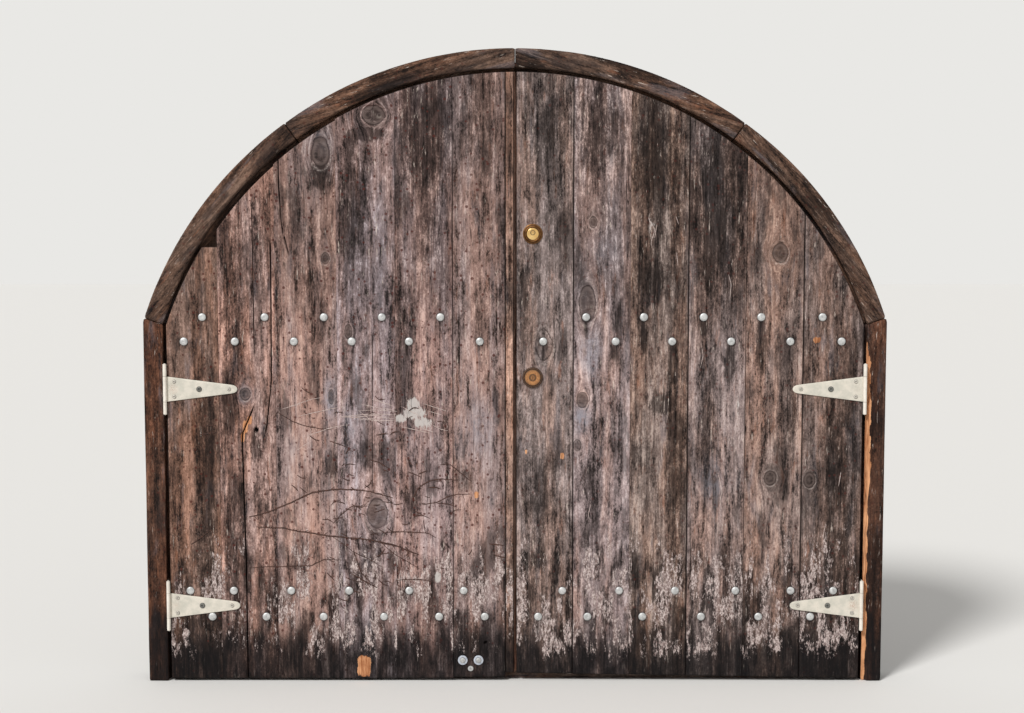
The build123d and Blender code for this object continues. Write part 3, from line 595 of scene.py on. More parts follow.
boardWear = {  # a field is its steps across and up, and its weight
    "edge": (0.3, 0.07), "ends": (1.3, 1.5),  # top and foot wear wider than the sides
    "ridges": ((0.0075, 0.22, 0.6), (0.018, 0.35, 0.9)), "cup": (0.0002, 0.0011), "wander": (0.1, 0.03),
    "crackLip": 0.0009, "knotSunk": 0.0022, "knotRim": 0.0008, "jointShade": 0.0018,
    "wobble": ((0.012, 0.4, 0.6), (0.05, 0.5, 0.4)), "damp": (0.02, 0.06), "dampHeights": (0.2, 0.4),
    "tone": (0.05, 0.2), "topHeights": (0.95, 1.25), "flakes": (0.022, 0.07), "flaking": 0.9,
    "weep": (0.2, 1.0), "weepShare": {"left": 0.6, "right": 1.0}, "drip": 0.0085, "boltShadow": 0.0175,
}


def looseParts(node):  # the box of each loose part of a node, from the bottom and the left
    mesh = bmesh.new()
    mesh.from_mesh(nodes[node].data)
    bmesh.ops.remove_doubles(mesh, verts=mesh.verts, dist=1e-6)
    seen, found = set(), []
    for vert in mesh.verts:
        if vert in seen:
            continue
        queue, part = [vert], []
        seen.add(vert)
        while queue:
            here = queue.pop()
            part.append(here.co.copy())
            fresh = {edge.other_vert(here) for edge in here.link_edges} - seen
            seen |= fresh
            queue += fresh
        found.append([Vector([way(co[k] for co in part) for k in range(3)]) for way in (min, max)])
    mesh.free()
    return sorted(found, key=lambda pair: (round(pair[0].z, 2), pair[0].x))


def middleOf(low, high):  # in the door's plane
    return (low.x + high.x) / 2, (low.z + high.z) / 2


def boltSpots(leaf):  # the bolts' places on the planks' face, row by row from the top
    middles = [middleOf(*box) for box in looseParts(leaf + "_bolts")]
    return sorted(middles, key=lambda spot: (-round(spot[1] / 0.05), spot[0]))


def findCracks(look, low, high):
    # each crack's path in metres, the column that follows it, and its open stretches
    found = []
    for path, stretches in look.get("cracks", []):
        points = np.array([atPixel(*point) for point in np.reshape(path, (-1, 2))])
        points = points[np.argsort(points[:, 1])]
        column = float(np.clip(points[:, 0].mean(), low + 0.012, high - 0.012))
        spans = [(*(atPixel(0, end)[1] for end in ends), width, deep) for *ends, width, deep in stretches]
        found.append((points, column, spans))
    return sorted(found, key=lambda item: item[1])


def planBoard(name, look):
    # a board's two sides at the front, behind the shelf and at the back, its foot and its top
    low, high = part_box(name)
    plan = SimpleNamespace(sides=[], mids=[], backs=[], holes=[])
    plan.tight, plan.onLeft = look.get("tight", (0, 0)), name.startswith("left")
    closing = look.get("closing", boardMesh["closing"])
    for k, way in ((0, -1), (1, 1)):
        side, slant = look.get("meeting", {}).get(k, ((low.x, high.x)[k], 0.0))
        spread = boardMesh["tighter"] * plan.tight[k]
        side += way * spread
        behind = side + way * (closing[k] - spread)
        plan.sides.append(side)
        plan.mids.append(behind + slant * boardMesh["shelf"] / door["thick"])
        plan.backs.append(behind + slant)
    plan.foot = low.z if plan.onLeft else door["floorGap"]
    plan.tall = high.z - plan.foot
    rise = 0.0 if plan.onLeft else door["footRise"]
    radius, highest = door["archRadius"] - look.get("trim", 0.0), look.get("highest", high.z + 1)
    plan.footAt = lambda x: plan.foot + rise * (1 - x / door["halfWidth"])
    plan.topAt = lambda x: np.minimum(door["archCentre"] + np.sqrt(radius**2 - x**2), highest)
    plan.cracks = findCracks(look, *plan.sides)
    if "knotHole" in look:  # a hole is its middle, radius, depth and how far its painted shade reaches
        across, down, wide, deep = look["knotHole"]
        plan.holes.append((*atPixel(across, down), wide, deep, -1.1))
    if "boltHole" in look:
        plan.holes.append((*look["boltHole"], -1.2))
    return plan


def boardGrid(plan, look):
    # columns and rows of points, bent so that they follow each crack
    low, high = plan.sides
    columns = [low + d for d in boardMesh["nearSide"]] + [high - d for d in boardMesh["nearSide"]]
    rows = [d / plan.tall for d in boardMesh["nearEnd"]]
    rows += [1 - row for row in rows]
    for _, column, spans in plan.cracks:
        for half in (width / 2 for _, _, width, _ in spans):
            columns += [column + way * d for d in (half * 0.3, half, half + 0.0014) for way in (-1, 1)]
    if "knotHole" in look:
        cx, cz, wide = plan.holes[0][:3]
        columns += [cx + k * wide / 4 for k in range(-6, 7)]
        rows += [(cz + k * wide / 4 - plan.foot) / plan.tall for k in range(-6, 7)]
    plain = stepped(low, high, boardMesh["column"], columns)
    steps = stepped(0.0, 1.0, boardMesh["row"] / plan.tall, rows)[:, None]
    x = np.tile(plain, (len(steps), 1))
    z = plan.footAt(x) + steps * (plan.topAt(x) - plan.footAt(x))
    if plan.cracks:
        band = boardMesh["crackBand"]
        for row, here in zip(x, z.mean(axis=1)):
            asked, given = [low], [low]
            for points, column, _ in plan.cracks:
                bent = float(np.interp(here, points[:, 1], points[:, 0]))
                bent = min(max(bent, low + 0.008), high - 0.008)
                asked += [column - band, column + band]
                given += [bent - band, bent + band]
            row[:] = np.interp(plain, asked + [high], given + [high])
        z = plan.footAt(x) + steps * (plan.topAt(x) - plan.footAt(x))
    return x, z


def reliefOf(plan, look, x, z, maker):
    # relief, always cut inwards from the solid's face, how the grain parts round knots, and their marks
    low, high = plan.sides
    away = [x - low, high - x, plan.topAt(x) - z, z - plan.footAt(x)]
    worn = boardMesh["edge"] * (0.55 + 0.9 * softField(maker, x, z, *boardWear["edge"]))
    depth, crack = np.zeros_like(x), np.zeros_like(x)
    for far, wide in zip(away, (*(1 - 0.66 * tight for tight in plan.tight), *boardWear["ends"])):
        share = 1 - np.clip(far / (worn * wide), 0, 1)
        depth = np.maximum(depth, worn * wide * (1 - np.sqrt(1 - share**2 * 0.96)))
    ridges = layered(maker, x, z, boardWear["ridges"])
    cup = ((x - (low + high) / 2) / ((high - low) / 2)) ** 2 * maker.uniform(*boardWear["cup"])
    depth += boardMesh["grain"] * ridges + cup
    for points, _, spans in plan.cracks:
        for top, bottom, width, deep in spans:
            far = abs(x - np.interp(z, points[:, 1], points[:, 0])) / (width / 2)
            along = smooth(top - z, 0.0, 0.03) * smooth(z - bottom, 0.0, 0.03)
            wander = 0.35 + 0.9 * softField(maker, x * 0, z, *boardWear["wander"])
            depth += deep * smooth(-far, -1.15, -0.4) * along
            depth += boardWear["crackLip"] * smooth(-far, -4.0, -1.0) * along * wander
            # painted shade inside the open crack
            crack = np.maximum(crack, smooth(-far, -1.5, -0.7) * along)
    grainX, knot = x.copy(), np.full_like(x, 4.0)
    heart, rimHighlight, fill = np.zeros_like(x), np.zeros_like(x), np.zeros_like(x)
    for px, py, wide, tall, strength, *bright in look.get("knots", []):
        cx, cz = atPixel(px, py)
        a, b = wide * view["pixel"] / 2, tall * view["pixel"] / 2
        dx, dz = (x - cx) / a, (z - cz) / b
        far = np.sqrt(dx**2 + dz**2)
        push = np.where(far < 1, far, 1 / np.maximum(far, 1) ** 2)
        grainX -= a * dx * push * (1 if strength > 0.1 else 0.3)
        knot = np.minimum(knot, far)
        heart = np.maximum(heart, strength * (far < 1.3))
        fill = np.maximum(fill, min(1.0, strength * 3) * (far < 1.6))
        # the rim is a painted highlight, strongest on the lower right, which faces the key light
        lit = 0.25 + 0.6 * smooth(dx * 0.5 - dz, -0.6, 0.9)
        rimHighlight = np.maximum(rimHighlight, (far < 1.6) * lit * (bright[0] if bright else 1.0))
        sunk = boardWear["knotSunk"] * strength * smooth(-far, -1.0, -0.55)
        depth += sunk + boardWear["knotRim"] * np.exp(-(((far - 1.0) / 0.12) ** 2))
    for cx, cz, radius, deep, brim in plan.holes:
        far = np.hypot(x - cx, z - cz) / radius
        depth += deep * smooth(-far, -1.1, -0.75)
        # painted shade inside the hole, reaching past its edge
        crack = np.maximum(crack, smooth(-far, brim, -0.8))
    # painted shade along each board's sides, top and foot, less where a side is tight
    sides = [far + boardWear["jointShade"] * tight for far, tight in zip(away, plan.tight)]
    loose = np.minimum(np.minimum(*sides), np.minimum(away[2], away[3]))
    crack = np.maximum(crack, 0.8 * smooth(-loose, -0.0022, -0.0002))
    return depth, grainX, {"crack": crack, "knot": knot, "heart": heart, "rimHighlight": rimHighlight, "fill": fill}


def weatherOf(plan, look, x, z, maker, bolts):
    # how dark, pale, cool, broken, flaked and rotten each point is, what drips from the bolts, and a painted shadow
    # round each bolt
    marks = {}
    for kind in ("dark", "pale", "fresh", "cool"):
        marks[kind] = np.zeros_like(x)
        power = 4 if kind == "fresh" else 2
        for px, py, wide, tall, strength in look.get(kind, []):
            cx, cz = atPixel(px, py)
            dx, dz = abs(x - cx) / (wide * view["pixel"]), abs(z - cz) / (tall * view["pixel"])
            far = dx**power + dz**power
            marks[kind] = np.maximum(marks[kind], strength * np.exp(-(far**1.5)))
    wobble = layered(maker, x, z, boardWear["wobble"])
    damp = 0.9 * smooth(softField(maker, x, z, *boardWear["damp"]), 0.35, 0.85)
    damp = damp * (1 - smooth(z - 0.15 * wobble, *boardWear["dampHeights"]))
    marks["dark"] = np.maximum(marks["dark"], damp)
    footShade = 0.6 * smooth(z - 0.1 * wobble, 0.03, 0.2) + 0.4 * smooth(z - 0.12 * wobble, 0.12, 0.42)
    # painted shade over each plank's upper part
    topShade = 1 - (1 - look["top"]) * smooth(z, *boardWear["topHeights"])
    drift = 0.78 + 0.4 * softField(maker, x, z, *boardWear["tone"])
    marks["tone"] = (0.55 + 0.45 * footShade) * topShade * drift
    marks["foot"] = 1.2 * (1 - smooth(z - 0.12 * wobble, -0.04, 0.18))
    reach = smooth(z - 0.04 * wobble, 0.02, 0.1) * (1 - smooth(z - 0.2 * wobble, 0.2, 0.42))
    flaked = smooth(softField(maker, x, z, *boardWear["flakes"]), 0.1, 0.8)
    marks["flake"] = reach * flaked * look.get("flaking", boardWear["flaking"])
    marks["drip"] = np.zeros_like(x)
    for bx, bz in bolts:
        weep = maker.uniform(*boardWear["weep"]) * boardWear["weepShare"]["left" if plan.onLeft else "right"]
        below = bz - z
        tail = np.exp(-(((x - bx) / boardWear["drip"]) ** 2)) * smooth(below, -0.01, 0.012)
        tail = tail * (1 - smooth(below, 0.012 + 0.03 * weep, 0.03 + 0.08 * weep)) * (0.35 + 0.65 * weep)
        # a painted shadow round each bolt, centred a little below it
        boltShadow = np.exp(-((np.hypot(x - bx, z - bz + 0.003) / boardWear["boltShadow"]) ** 4)) * 0.85
        marks["drip"] = np.maximum(marks["drip"], np.maximum(tail, boltShadow))
    return marks


def makeBoard(name, look, bolts):
    plan = planBoard(name, look)
    maker = np.random.default_rng(int(look["seed"] * 101))
    x, z = boardGrid(plan, look)
    depth, grainX, marks = reliefOf(plan, look, x, z, maker)
    marks.update(weatherOf(plan, look, x, z, maker, bolts))
    rows, columns = x.shape
    front, back = door["front"], door["front"] + door["thick"]
    verts = [np.stack([x, front + np.minimum(depth, boardMesh["deepest"]), z], -1).reshape(-1, 3)]
    grid = np.arange(x.size).reshape(rows, columns)

    def wall(xs, y, zs):  # adds a line of points and gives their numbers
        first = sum(len(part) for part in verts)
        xs = np.broadcast_to(xs, np.shape(zs))
        verts.append(np.stack([xs, np.full_like(xs, y), zs], -1))
        return np.arange(first, first + len(xs))

    midLow, midHigh = (wall(plan.mids[k], front + boardMesh["shelf"], z[:, -k]) for k in (0, 1))
    backLow, backHigh = (wall(plan.backs[k], back, z[:, -k]) for k in (0, 1))
    inner = plan.backs[0] + np.linspace(0, 1, columns)[1:-1] * (plan.backs[1] - plan.backs[0])
    topZ = plan.topAt(np.clip(inner, -door["halfWidth"], door["halfWidth"]))
    topBack = [backLow[-1], *wall(inner, back, topZ), backHigh[-1]]
    footBack = [backLow[0], *wall(inner, back, plan.footAt(inner)), backHigh[0]]
    quads = (grid[:-1, :-1], grid[:-1, 1:], grid[1:, 1:], grid[1:, :-1])
    faces = np.stack(quads, -1).reshape(-1, 4).tolist()
    frontCount = len(faces)
    for j in range(rows - 1):
        faces.append((grid[j, 0], grid[j + 1, 0], midLow[j + 1], midLow[j]))
        faces.append((midLow[j], midLow[j + 1], backLow[j + 1], backLow[j]))
        faces.append((grid[j + 1, -1], grid[j, -1], midHigh[j], midHigh[j + 1]))
        faces.append((midHigh[j + 1], midHigh[j], backHigh[j], backHigh[j + 1]))
        if 0 < j < rows - 2:
            faces.append((backLow[j], backLow[j + 1], backHigh[j + 1], backHigh[j]))
    for i in range(columns - 1):
        upper = [grid[-1, i], grid[-1, i + 1], topBack[i + 1], topBack[i]]
        lower = [grid[0, i + 1], grid[0, i], footBack[i], footBack[i + 1]]
        if i == 0:
            upper.append(midLow[-1])
            lower.insert(2, midLow[0])
        if i == columns - 2:
            upper.insert(2, midHigh[-1])
            lower.append(midHigh[0])
        faces += [upper, lower]
    faces.append([backLow[-2], *topBack, backHigh[-2]])
    faces.append([backHigh[1], *footBack[::-1], backLow[1]])
    places = np.concatenate(verts)
    mesh = bpy.data.meshes.new(name + "_weathered")
    mesh.from_pydata(places.tolist(), [], [[int(v) for v in face] for face in faces])
    mesh.polygons.foreach_set("use_smooth", np.arange(len(mesh.polygons)) < frontCount)
    extra = len(places) - x.size
    rest = {"tone": 0.85, "knot": 4.0}  # what the sides and the back have
    for kind, values in marks.items():
        setMark(mesh, kind, np.concatenate([values.ravel(), np.full(extra, rest.get(kind, 0.0))]))
    setMark(mesh, "inside", np.arange(len(places)) >= x.size)
    places[: x.size, 0] = grainX.ravel()
    setMark(mesh, "grainPlace", places)
    boardMaterial("board_" + name, look)
    return addPiece(name + "_weathered", mesh, ["board_" + name], name)


spotsOf = {leaf: boltSpots(leaf) for leaf in leaves}
planks = {name: makeBoard(name, look, spotsOf[name.split("_")[0]]) for name, look in boards.items()}
print("planks made:", sum(len(board.data.polygons) for board in planks.values()), "faces")


# metals: clouded surface, spots, grime and painted shade where a piece's own mark says so
def metalGroup():
    inputs = {
        "Place": None, "Scale": 60.0, "Light": tint(220, 212, 200), "Dark": tint(190, 184, 172),
        "Spot": tint(120, 90, 70), "Spotting": 0.1, "Smoothness": 0.6,
    }
    tree, given, end = newGroup("Metal wear", inputs, ("Color", "Roughness", "Height", "Spots"))
    scaled = {0: given["Place"], "Scale": given["Scale"]}
    scaled = read(tree, "VectorMath", 0, scaled, operation="SCALE")
    cloud, fine = noise(scaled, (1, 1, 1), 5, 0.62), noise(scaled, (7, 7, 7), 3, 0.6)
    facet, _ = cellsIn(scaled, 2.6, 1)
    shade = facet * 0.16 + ease(cloud, 0.32, 0.68, 0.0, 0.84)
    color = blend(shade, given["Dark"], given["Light"])
    spots = ease(fine * 0.45 + (cloud * 0.55 + given["Spotting"] * 0.3), 0.62, 0.74)
    color = blend(spots * 0.8, color, given["Spot"])
    rust = readMark(tree, "rust") * ease(fine, 0.42, 0.6)
    color = blend(rust * 0.75, color, tint(168, 122, 96))
    # the mark darkens real grime and also painted shade where parts meet, in recesses and under heads
    grimeAndShade = readMark(tree, "grimeAndShade") * ease(fine, 0.2, 0.55, 0.75, 1.0)
    color = blend(grimeAndShade, color, tint(34, 28, 26))
    dull = calc("MAXIMUM", calc("MAXIMUM", spots, grimeAndShade), rust)
    rough = clip(dull * 0.35 + (fine * 0.14 + 0.98 - given["Smoothness"]))
    wire(end, {"Color": color, "Roughness": rough, "Height": spots * 0.5 + fine, "Spots": dull})
    return tree


metalTree = metalGroup()
metals = {  # light, dark and spot colour, then spotting, scale, smoothness, metal and bump
    "hingeZinc": ((219, 211, 197), (194, 190, 177), (166, 150, 132), 0.05, 42, 0.5, 0.15, 0.2),
    # the strap's zinc made brighter: a painted highlight on the rolled knuckles, also given to the cross leaves and
    # pins
    "litBarrelZinc": ((238, 230, 218), (214, 206, 194), (170, 156, 138), 0.05, 45, 0.55, 0.15, 0.15),
    "boltZinc": ((214, 214, 212), (166, 166, 165), (92, 80, 72), 0.15, 95, 0.62, 0.45, 0.3),
    "washerZinc": ((208, 212, 220), (158, 164, 176), (90, 82, 80), 0.1, 90, 0.6, 0.4, 0.3),
    "screwZinc": ((214, 208, 196), (170, 164, 154), (90, 80, 72), 0.1, 90, 0.55, 0.4, 0.2),
    "darkScrew": ((128, 128, 122), (92, 92, 88), (70, 60, 52), 0.15, 90, 0.5, 0.5, 0.2),
    "backZinc": ((176, 172, 166), (140, 136, 130), (104, 78, 60), 0.25, 60, 0.45, 0.5, 0.4),
    "bareSteel": ((150, 144, 138), (104, 96, 90), (112, 68, 44), 0.4, 55, 0.55, 0.85, 0.4),
    "lacquer": ((74, 64, 55), (50, 44, 39), (108, 74, 52), 0.15, 40, 0.6, 0.2, 0.3),
    "polishedBrass": ((244, 208, 142), (214, 170, 104), (140, 92, 48), 0.05, 50, 0.74, 0.9, 0.12),
    # the ring's brass is painted darker than the core's, standing for the dark it reflects
    "brassRing": ((148, 104, 58), (88, 58, 34), (64, 38, 24), 0.4, 60, 0.68, 0.9, 0.2),
    "agedBrass": ((218, 160, 102), (160, 110, 70), (106, 50, 28), 0.42, 80, 0.5, 0.65, 0.4),
    "agedRing": ((112, 80, 56), (62, 44, 34), (36, 26, 22), 0.4, 70, 0.5, 0.6, 0.4),
}


def metalMaterial(title, light, dark, spot, spotting, scale, smoothness, metal, bump):
    tree = newTree(title)
    worn = useGroup(tree, metalTree, {
        "Place": read(tree, "TexCoord", "Object"), "Scale": scale, "Light": tint(*light), "Dark": tint(*dark),
        "Spot": tint(*spot), "Spotting": spotting, "Smoothness": smoothness,
    })
    wire(coat(tree, worn, bump, 0.4 * mm), {"Metallic": ease(worn["Spots"], 0.0, 1.0, metal, metal * 0.2)})


for title, look in metals.items():
    metalMaterial(title, *look)


# shapes made from numbers: turned pieces, plates and tubes gathered into one mesh
def newBag():
    return {"verts": [], "faces": [], "grimeAndShade": [], "paint": []}


def addTo(bag, verts, faces, grimeAndShade=0.0, paint=0):  # paint is the number of the part's material
    first = sum(len(part) for part in bag["verts"])
    bag["verts"].append(np.array(verts, float))
    bag["faces"] += [[first + int(corner) for corner in face] for face in faces]
    bag["grimeAndShade"].append(np.broadcast_to(np.array(grimeAndShade, float), (len(verts),)))
    bag["paint"] += [paint] * len(faces)


def turnedPart(bag, profile, middle, segments=32, axis="front", paint=0):
    # profile: radius and distance along the axis in mm, then grime and painted shade. axis: front is -Y, back is +Y,
    # up is +Z
    angles = np.linspace(0, 2 * math.pi, segments, endpoint=False)
    verts, faces, grimeAndShade, rings = [], [], [], []
    for radius, out, dirtAndShade in profile:
        ring = []
        for angle in angles if radius > 0 else angles[:1]:
            a, b, c = radius * mm * math.cos(angle), radius * mm * math.sin(angle), out * mm
            offset = {"front": (a, -c, b), "back": (-a, c, b), "up": (a, b, c)}[axis]
            ring.append(len(verts))
            verts.append([middle[k] + offset[k] for k in range(3)])
            grimeAndShade.append(dirtAndShade)
        rings.append(ring)
    for lower, upper in zip(rings, rings[1:]):
        for i in range(segments):
            j = (i + 1) % segments
            if len(upper) == 1 and len(lower) > 1:
                faces.append((lower[i], lower[j], upper[0]))
            elif len(lower) == 1 and len(upper) > 1:
                faces.append((lower[0], upper[j], upper[i]))
            elif len(lower) > 1:
                faces.append((lower[i], lower[j], upper[j], upper[i]))
    addTo(bag, verts, faces, grimeAndShade, paint)


def loft(count, rings, closed=True):  # faces between rings of as many points
    steps = [(r * count, i, (i + 1) % count) for r in range(rings - 1) for i in range(count)]
    faces = [[row + i, row + j, row + count + j, row + count + i] for row, i, j in steps]
    if closed:
        faces.append(list(range(count))[::-1])
    return faces + [[(rings - 1) * count + i for i in range(count)]]


def insetLoop(loop, amount):
    before, after = np.roll(loop, 1, 0), np.roll(loop, -1, 0)
    first, second = loop - before, after - loop
    first /= np.linalg.norm(first, axis=1)[:, None] + 1e-12
    second /= np.linalg.norm(second, axis=1)[:, None] + 1e-12
    area = np.sum(loop[:, 0] * after[:, 1] - after[:, 0] * loop[:, 1])
    normals = np.stack([-first[:, 1], first[:, 0]], 1) + np.stack([-second[:, 1], second[:, 0]], 1)
    normals /= np.linalg.norm(normals, axis=1)[:, None] + 1e-12
    lean = np.clip(np.sum(normals * np.stack([-first[:, 1], first[:, 0]], 1), axis=1), 0.4, 1)
    return loop + (1 if area > 0 else -1) * normals * (amount / lean)[:, None]


def platePart(bag, outline, back, front, bevel, place):
    # outline in two numbers, place turns (a, b, depth) into a point
    loop = np.array(outline, float)
    sign = 1 if front > back else -1
    rings = [(insetLoop(loop, bevel), back), (loop, back + sign * bevel), (loop, front - sign * bevel)]
    rings += [(insetLoop(loop, bevel * 0.3), front - sign * bevel * 0.3), (insetLoop(loop, bevel), front)]
    verts = [place(a, b, depth) for points, depth in rings for a, b in points]
    addTo(bag, verts, loft(len(loop), len(rings)))


def bagMesh(title, bag):
    mesh = bpy.data.meshes.new(title)
    mesh.from_pydata(np.concatenate(bag["verts"]).tolist(), [], bag["faces"])
    return mesh


def finishPiece(title, bag, materials, node, sharp=32):
    mesh = bagMesh(title, bag)
    cleaned = bmesh.new()
    cleaned.from_mesh(mesh)
    bmesh.ops.recalc_face_normals(cleaned, faces=cleaned.faces)
    cleaned.to_mesh(mesh)
    cleaned.free()
    smoothFaces(mesh, sharp)
    setMark(mesh, "grimeAndShade", np.concatenate(bag["grimeAndShade"]))
    piece = addPiece(title, mesh, materials, node)
    mesh.polygons.foreach_set("material_index", np.array(bag["paint"], np.int32))
    return piece


# bolts: low domes with a small dimple, a painted shadow line where they bite into the wood and painted shade in the
# dimple, square nuts behind with painted shade in their thread grooves
bolt = {
    "sides": 28, "shank": ((0, -63, 0.4), (4.6, -63, 0.4), (4.6, -4, 0.4)),
    "dome": (
        (12.2, -4, 1), (12.4, 0.2, 1), (12.4, 1.1, 0.85), (11.8, 2, 0.4), (10.4, 3, 0.05),
        (7.8, 3.9, 0), (4.8, 4.4, 0), (2.4, 4.5, 0), (1.4, 4.3, 0.12), (0, 4, 0.3),
    ),
    "nut": 0.0083, "nutCorner": 0.12, "nutBevel": 0.0009, "nutTurn": 11,
    "stub": (
        (4.8, 0, 0.3), (4.2, 0.5, 0.8), (4.8, 0.9, 0.1), (4.2, 1.3, 0.8), (4.8, 1.7, 0.1),
        (4.2, 2.1, 0.8), (4.8, 2.5, 0.1), (3.8, 2.9, 0.2), (0, 2.9, 0.3),
    ),
}


def makeBolts(leaf, seed):
    maker = np.random.default_rng(seed)
    bag, nuts = newBag(), newBag()
    for low, high in looseParts(leaf + "_bolts"):
        x, z = middleOf(low, high)
        size = maker.uniform(0.96, 1.0)
        dome = [(r * size, out * maker.uniform(0.97, 1.0), dirtAndShade) for r, out, dirtAndShade in bolt["dome"]]
        turnedPart(bag, [*bolt["shank"], *dome], (x, door["front"], z), bolt["sides"])
    finishPiece(leaf + "_bolt_heads", bag, ["boltZinc"], leaf + "_bolts")
    for low, high in looseParts(leaf + "_nuts"):
        x, z = middleOf(low, high)
        half, cut = bolt["nut"], bolt["nutCorner"]
        turn = math.radians(maker.uniform(-bolt["nutTurn"], bolt["nutTurn"]))
        spun = []
        for a, b in ((-1, -1), (1, -1), (1, 1), (-1, 1)):
            for da, db in ((cut, 0), (0, cut)) if a * b > 0 else ((0, cut), (cut, 0)):
                p, q = half * (a - a * da), half * (b - b * db)
                c, s = math.cos(turn), math.sin(turn)
                spun.append((x + p * c - q * s, z + p * s + q * c))
        platePart(nuts, spun, low.y, high.y, bolt["nutBevel"], lambda a, b, depth: (a, depth, b))
        turnedPart(nuts, bolt["stub"], (x, high.y - 0.3 * mm, z), 14, "back")
    finishPiece(leaf + "_square_nuts", nuts, ["backZinc"], leaf + "_nuts")


makeBolts("left", 31)
makeBolts("right", 47)

# T hinges: tapered straps, knuckles rolled round a pin, screws with sunk drives
hinge = {
    "axis": 1.051, "axisY": -0.0582, "face": 1.056, "thick": 0.0025, "bevel": 0.0006, "under": 0.0001,
    "root": 0.077, "knuckle": 0.037, "gap": 0.0004, "shoulder": (0.198, 0.0132), "tip": (0.2168, 0.0128),
    "leafBevel": 0.0005, "leafCorner": 0.003, "finest": 0.006,
    # the barrel's third numbers paint shade on the knuckles' ends and round the bore, between the knuckles
    "barrel": ((3, 0.5, 0.9), (3.4, 0, 0.7), (5, 0, 0.3), (5.7, 0.7, 0)),
    "pin": ((0, 0, 0), (1.8, 0.2, 0), (2.8, 0.9, 0), (3, 1.8, 0.2)), "pinEnd": 0.002,
    # a faint brown bloom near each strap's root
    "bloom": {"upper_left": 0.7, "lower_left": 0.35, "upper_right": 0.15, "lower_right": 0.9},
    "bloomAt": 0.024, "bloomSize": (0.017, 0.02),
}


def mirrored(ends, tall):
    return [(radius, tall - out, dirtAndShade) for radius, out, dirtAndShade in reversed(ends)]


def barrelPart(bag, x, low, tall, paint=0):
    tall, ends = tall / mm, list(hinge["barrel"])
    radius = ends[-1][0]
    profile = ends + [(radius, tall * share, 0) for share in (0.25, 0.5, 0.75)] + mirrored(ends, tall)
    turnedPart(bag, profile, (x, hinge["axisY"], low), 28, "up", paint)


def makeStrap(place, x, side, middle):
    half = hinge["root"] / 2
    (along, narrow), (reach, tipHalf) = hinge["shoulder"], hinge["tip"]
    upper = [(0.0008, half - 0.0022), (0.0016, half - 0.0006), (0.0034, half - 0.0003)]
    upper += [(spot, half - (half - narrow) * spot / along) for spot in (0.05, 0.12, along)]
    sweep = np.linspace(0.15, math.pi - 0.15, 13)
    turn = [(along + (reach - along) * math.sin(a), tipHalf * math.cos(a)) for a in sweep]
    outline = upper + turn + [(spot, -up) for spot, up in reversed(upper)]
    strap = newBag()
    back, front = door["front"] - hinge["under"], door["front"] - hinge["thick"]
    platePart(strap, outline, back, front, hinge["bevel"], lambda a, b, depth: (x - side * a, depth, middle + b))
    barrelPart(strap, x, middle - half, hinge["root"], 1)
    return finishPiece(place + "_hinge_strap", strap, ["hingeZinc", "litBarrelZinc"], place + "_strap", 40)


def addBloom(piece, strength, middle):
    # finer faces on a plate, so that its bloom can be painted on its points
    mesh = bmesh.new()
    mesh.from_mesh(piece.data)
    bmesh.ops.triangulate(mesh, faces=[face for face in mesh.faces if len(face.verts) > 8])
    for _ in range(4):
        edges = [edge for edge in mesh.edges if edge.calc_length() > hinge["finest"] * 1.5]
        if edges:
            bmesh.ops.subdivide_edges(mesh, edges=edges, cuts=1, use_grid_fill=True)
    mesh.to_mesh(piece.data)
    mesh.free()
    co = coordsOf(piece.data)
    wide, high = hinge["bloomSize"]
    away = np.hypot((abs(co[:, 0]) - hinge["axis"] + hinge["bloomAt"]) / wide, (co[:, 2] - middle) / high)
    setMark(piece.data, "rust", strength * np.clip(1.1 - away, 0, 1))


def makeCrossLeaf(place, x, side, middle):
    bag = newBag()
    corner, half = hinge["leafCorner"], hinge["root"] / 2 + hinge["gap"] + hinge["knuckle"]
    yLow, yHigh = hinge["axisY"] + 0.001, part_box(place + "_cross_leaf")[1].y
    cy, cz = yHigh - corner, half - corner
    sweep = np.linspace(0, math.pi / 2, 4)
    rounded = [(cy + corner * math.cos(a), cz + corner * math.sin(a)) for a in sweep] + [(yLow, half)]
    rounded += [(across, -up) for across, up in reversed(rounded)]
    inner, outer = side * (hinge["face"] - hinge["thick"]), side * (hinge["face"] - hinge["under"])
    platePart(bag, rounded, outer, inner, hinge["leafBevel"], lambda a, b, depth: (depth, a, middle + b))
    for start in (-half, hinge["root"] / 2 + hinge["gap"]):
        barrelPart(bag, x, middle + start, hinge["knuckle"])
    finishPiece(place + "_hinge_leaf", bag, ["litBarrelZinc"], place + "_cross_leaf", 40)


pins = newBag()
pinTall = hinge["root"] + 2 * (hinge["gap"] + hinge["knuckle"]) + 2 * hinge["pinEnd"]
for leaf, side in (("left", -1), ("right", 1)):
    for row in levels:
        place, x = f"{row}_{leaf}", side * hinge["axis"]
        middle = middleOf(*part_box(place + "_strap"))[1]
        strap = makeStrap(place, x, side, middle)
        makeCrossLeaf(place, x, side, middle)
        profile = [*hinge["pin"], *mirrored(hinge["pin"], pinTall / mm)]
        turnedPart(pins, profile, (x, hinge["axisY"], middle - pinTall / 2), 18, "up")
        addBloom(strap, hinge["bloom"][place], middle)
finishPiece("hinge_pin_set", pins, ["litBarrelZinc"], "hinge_pins")

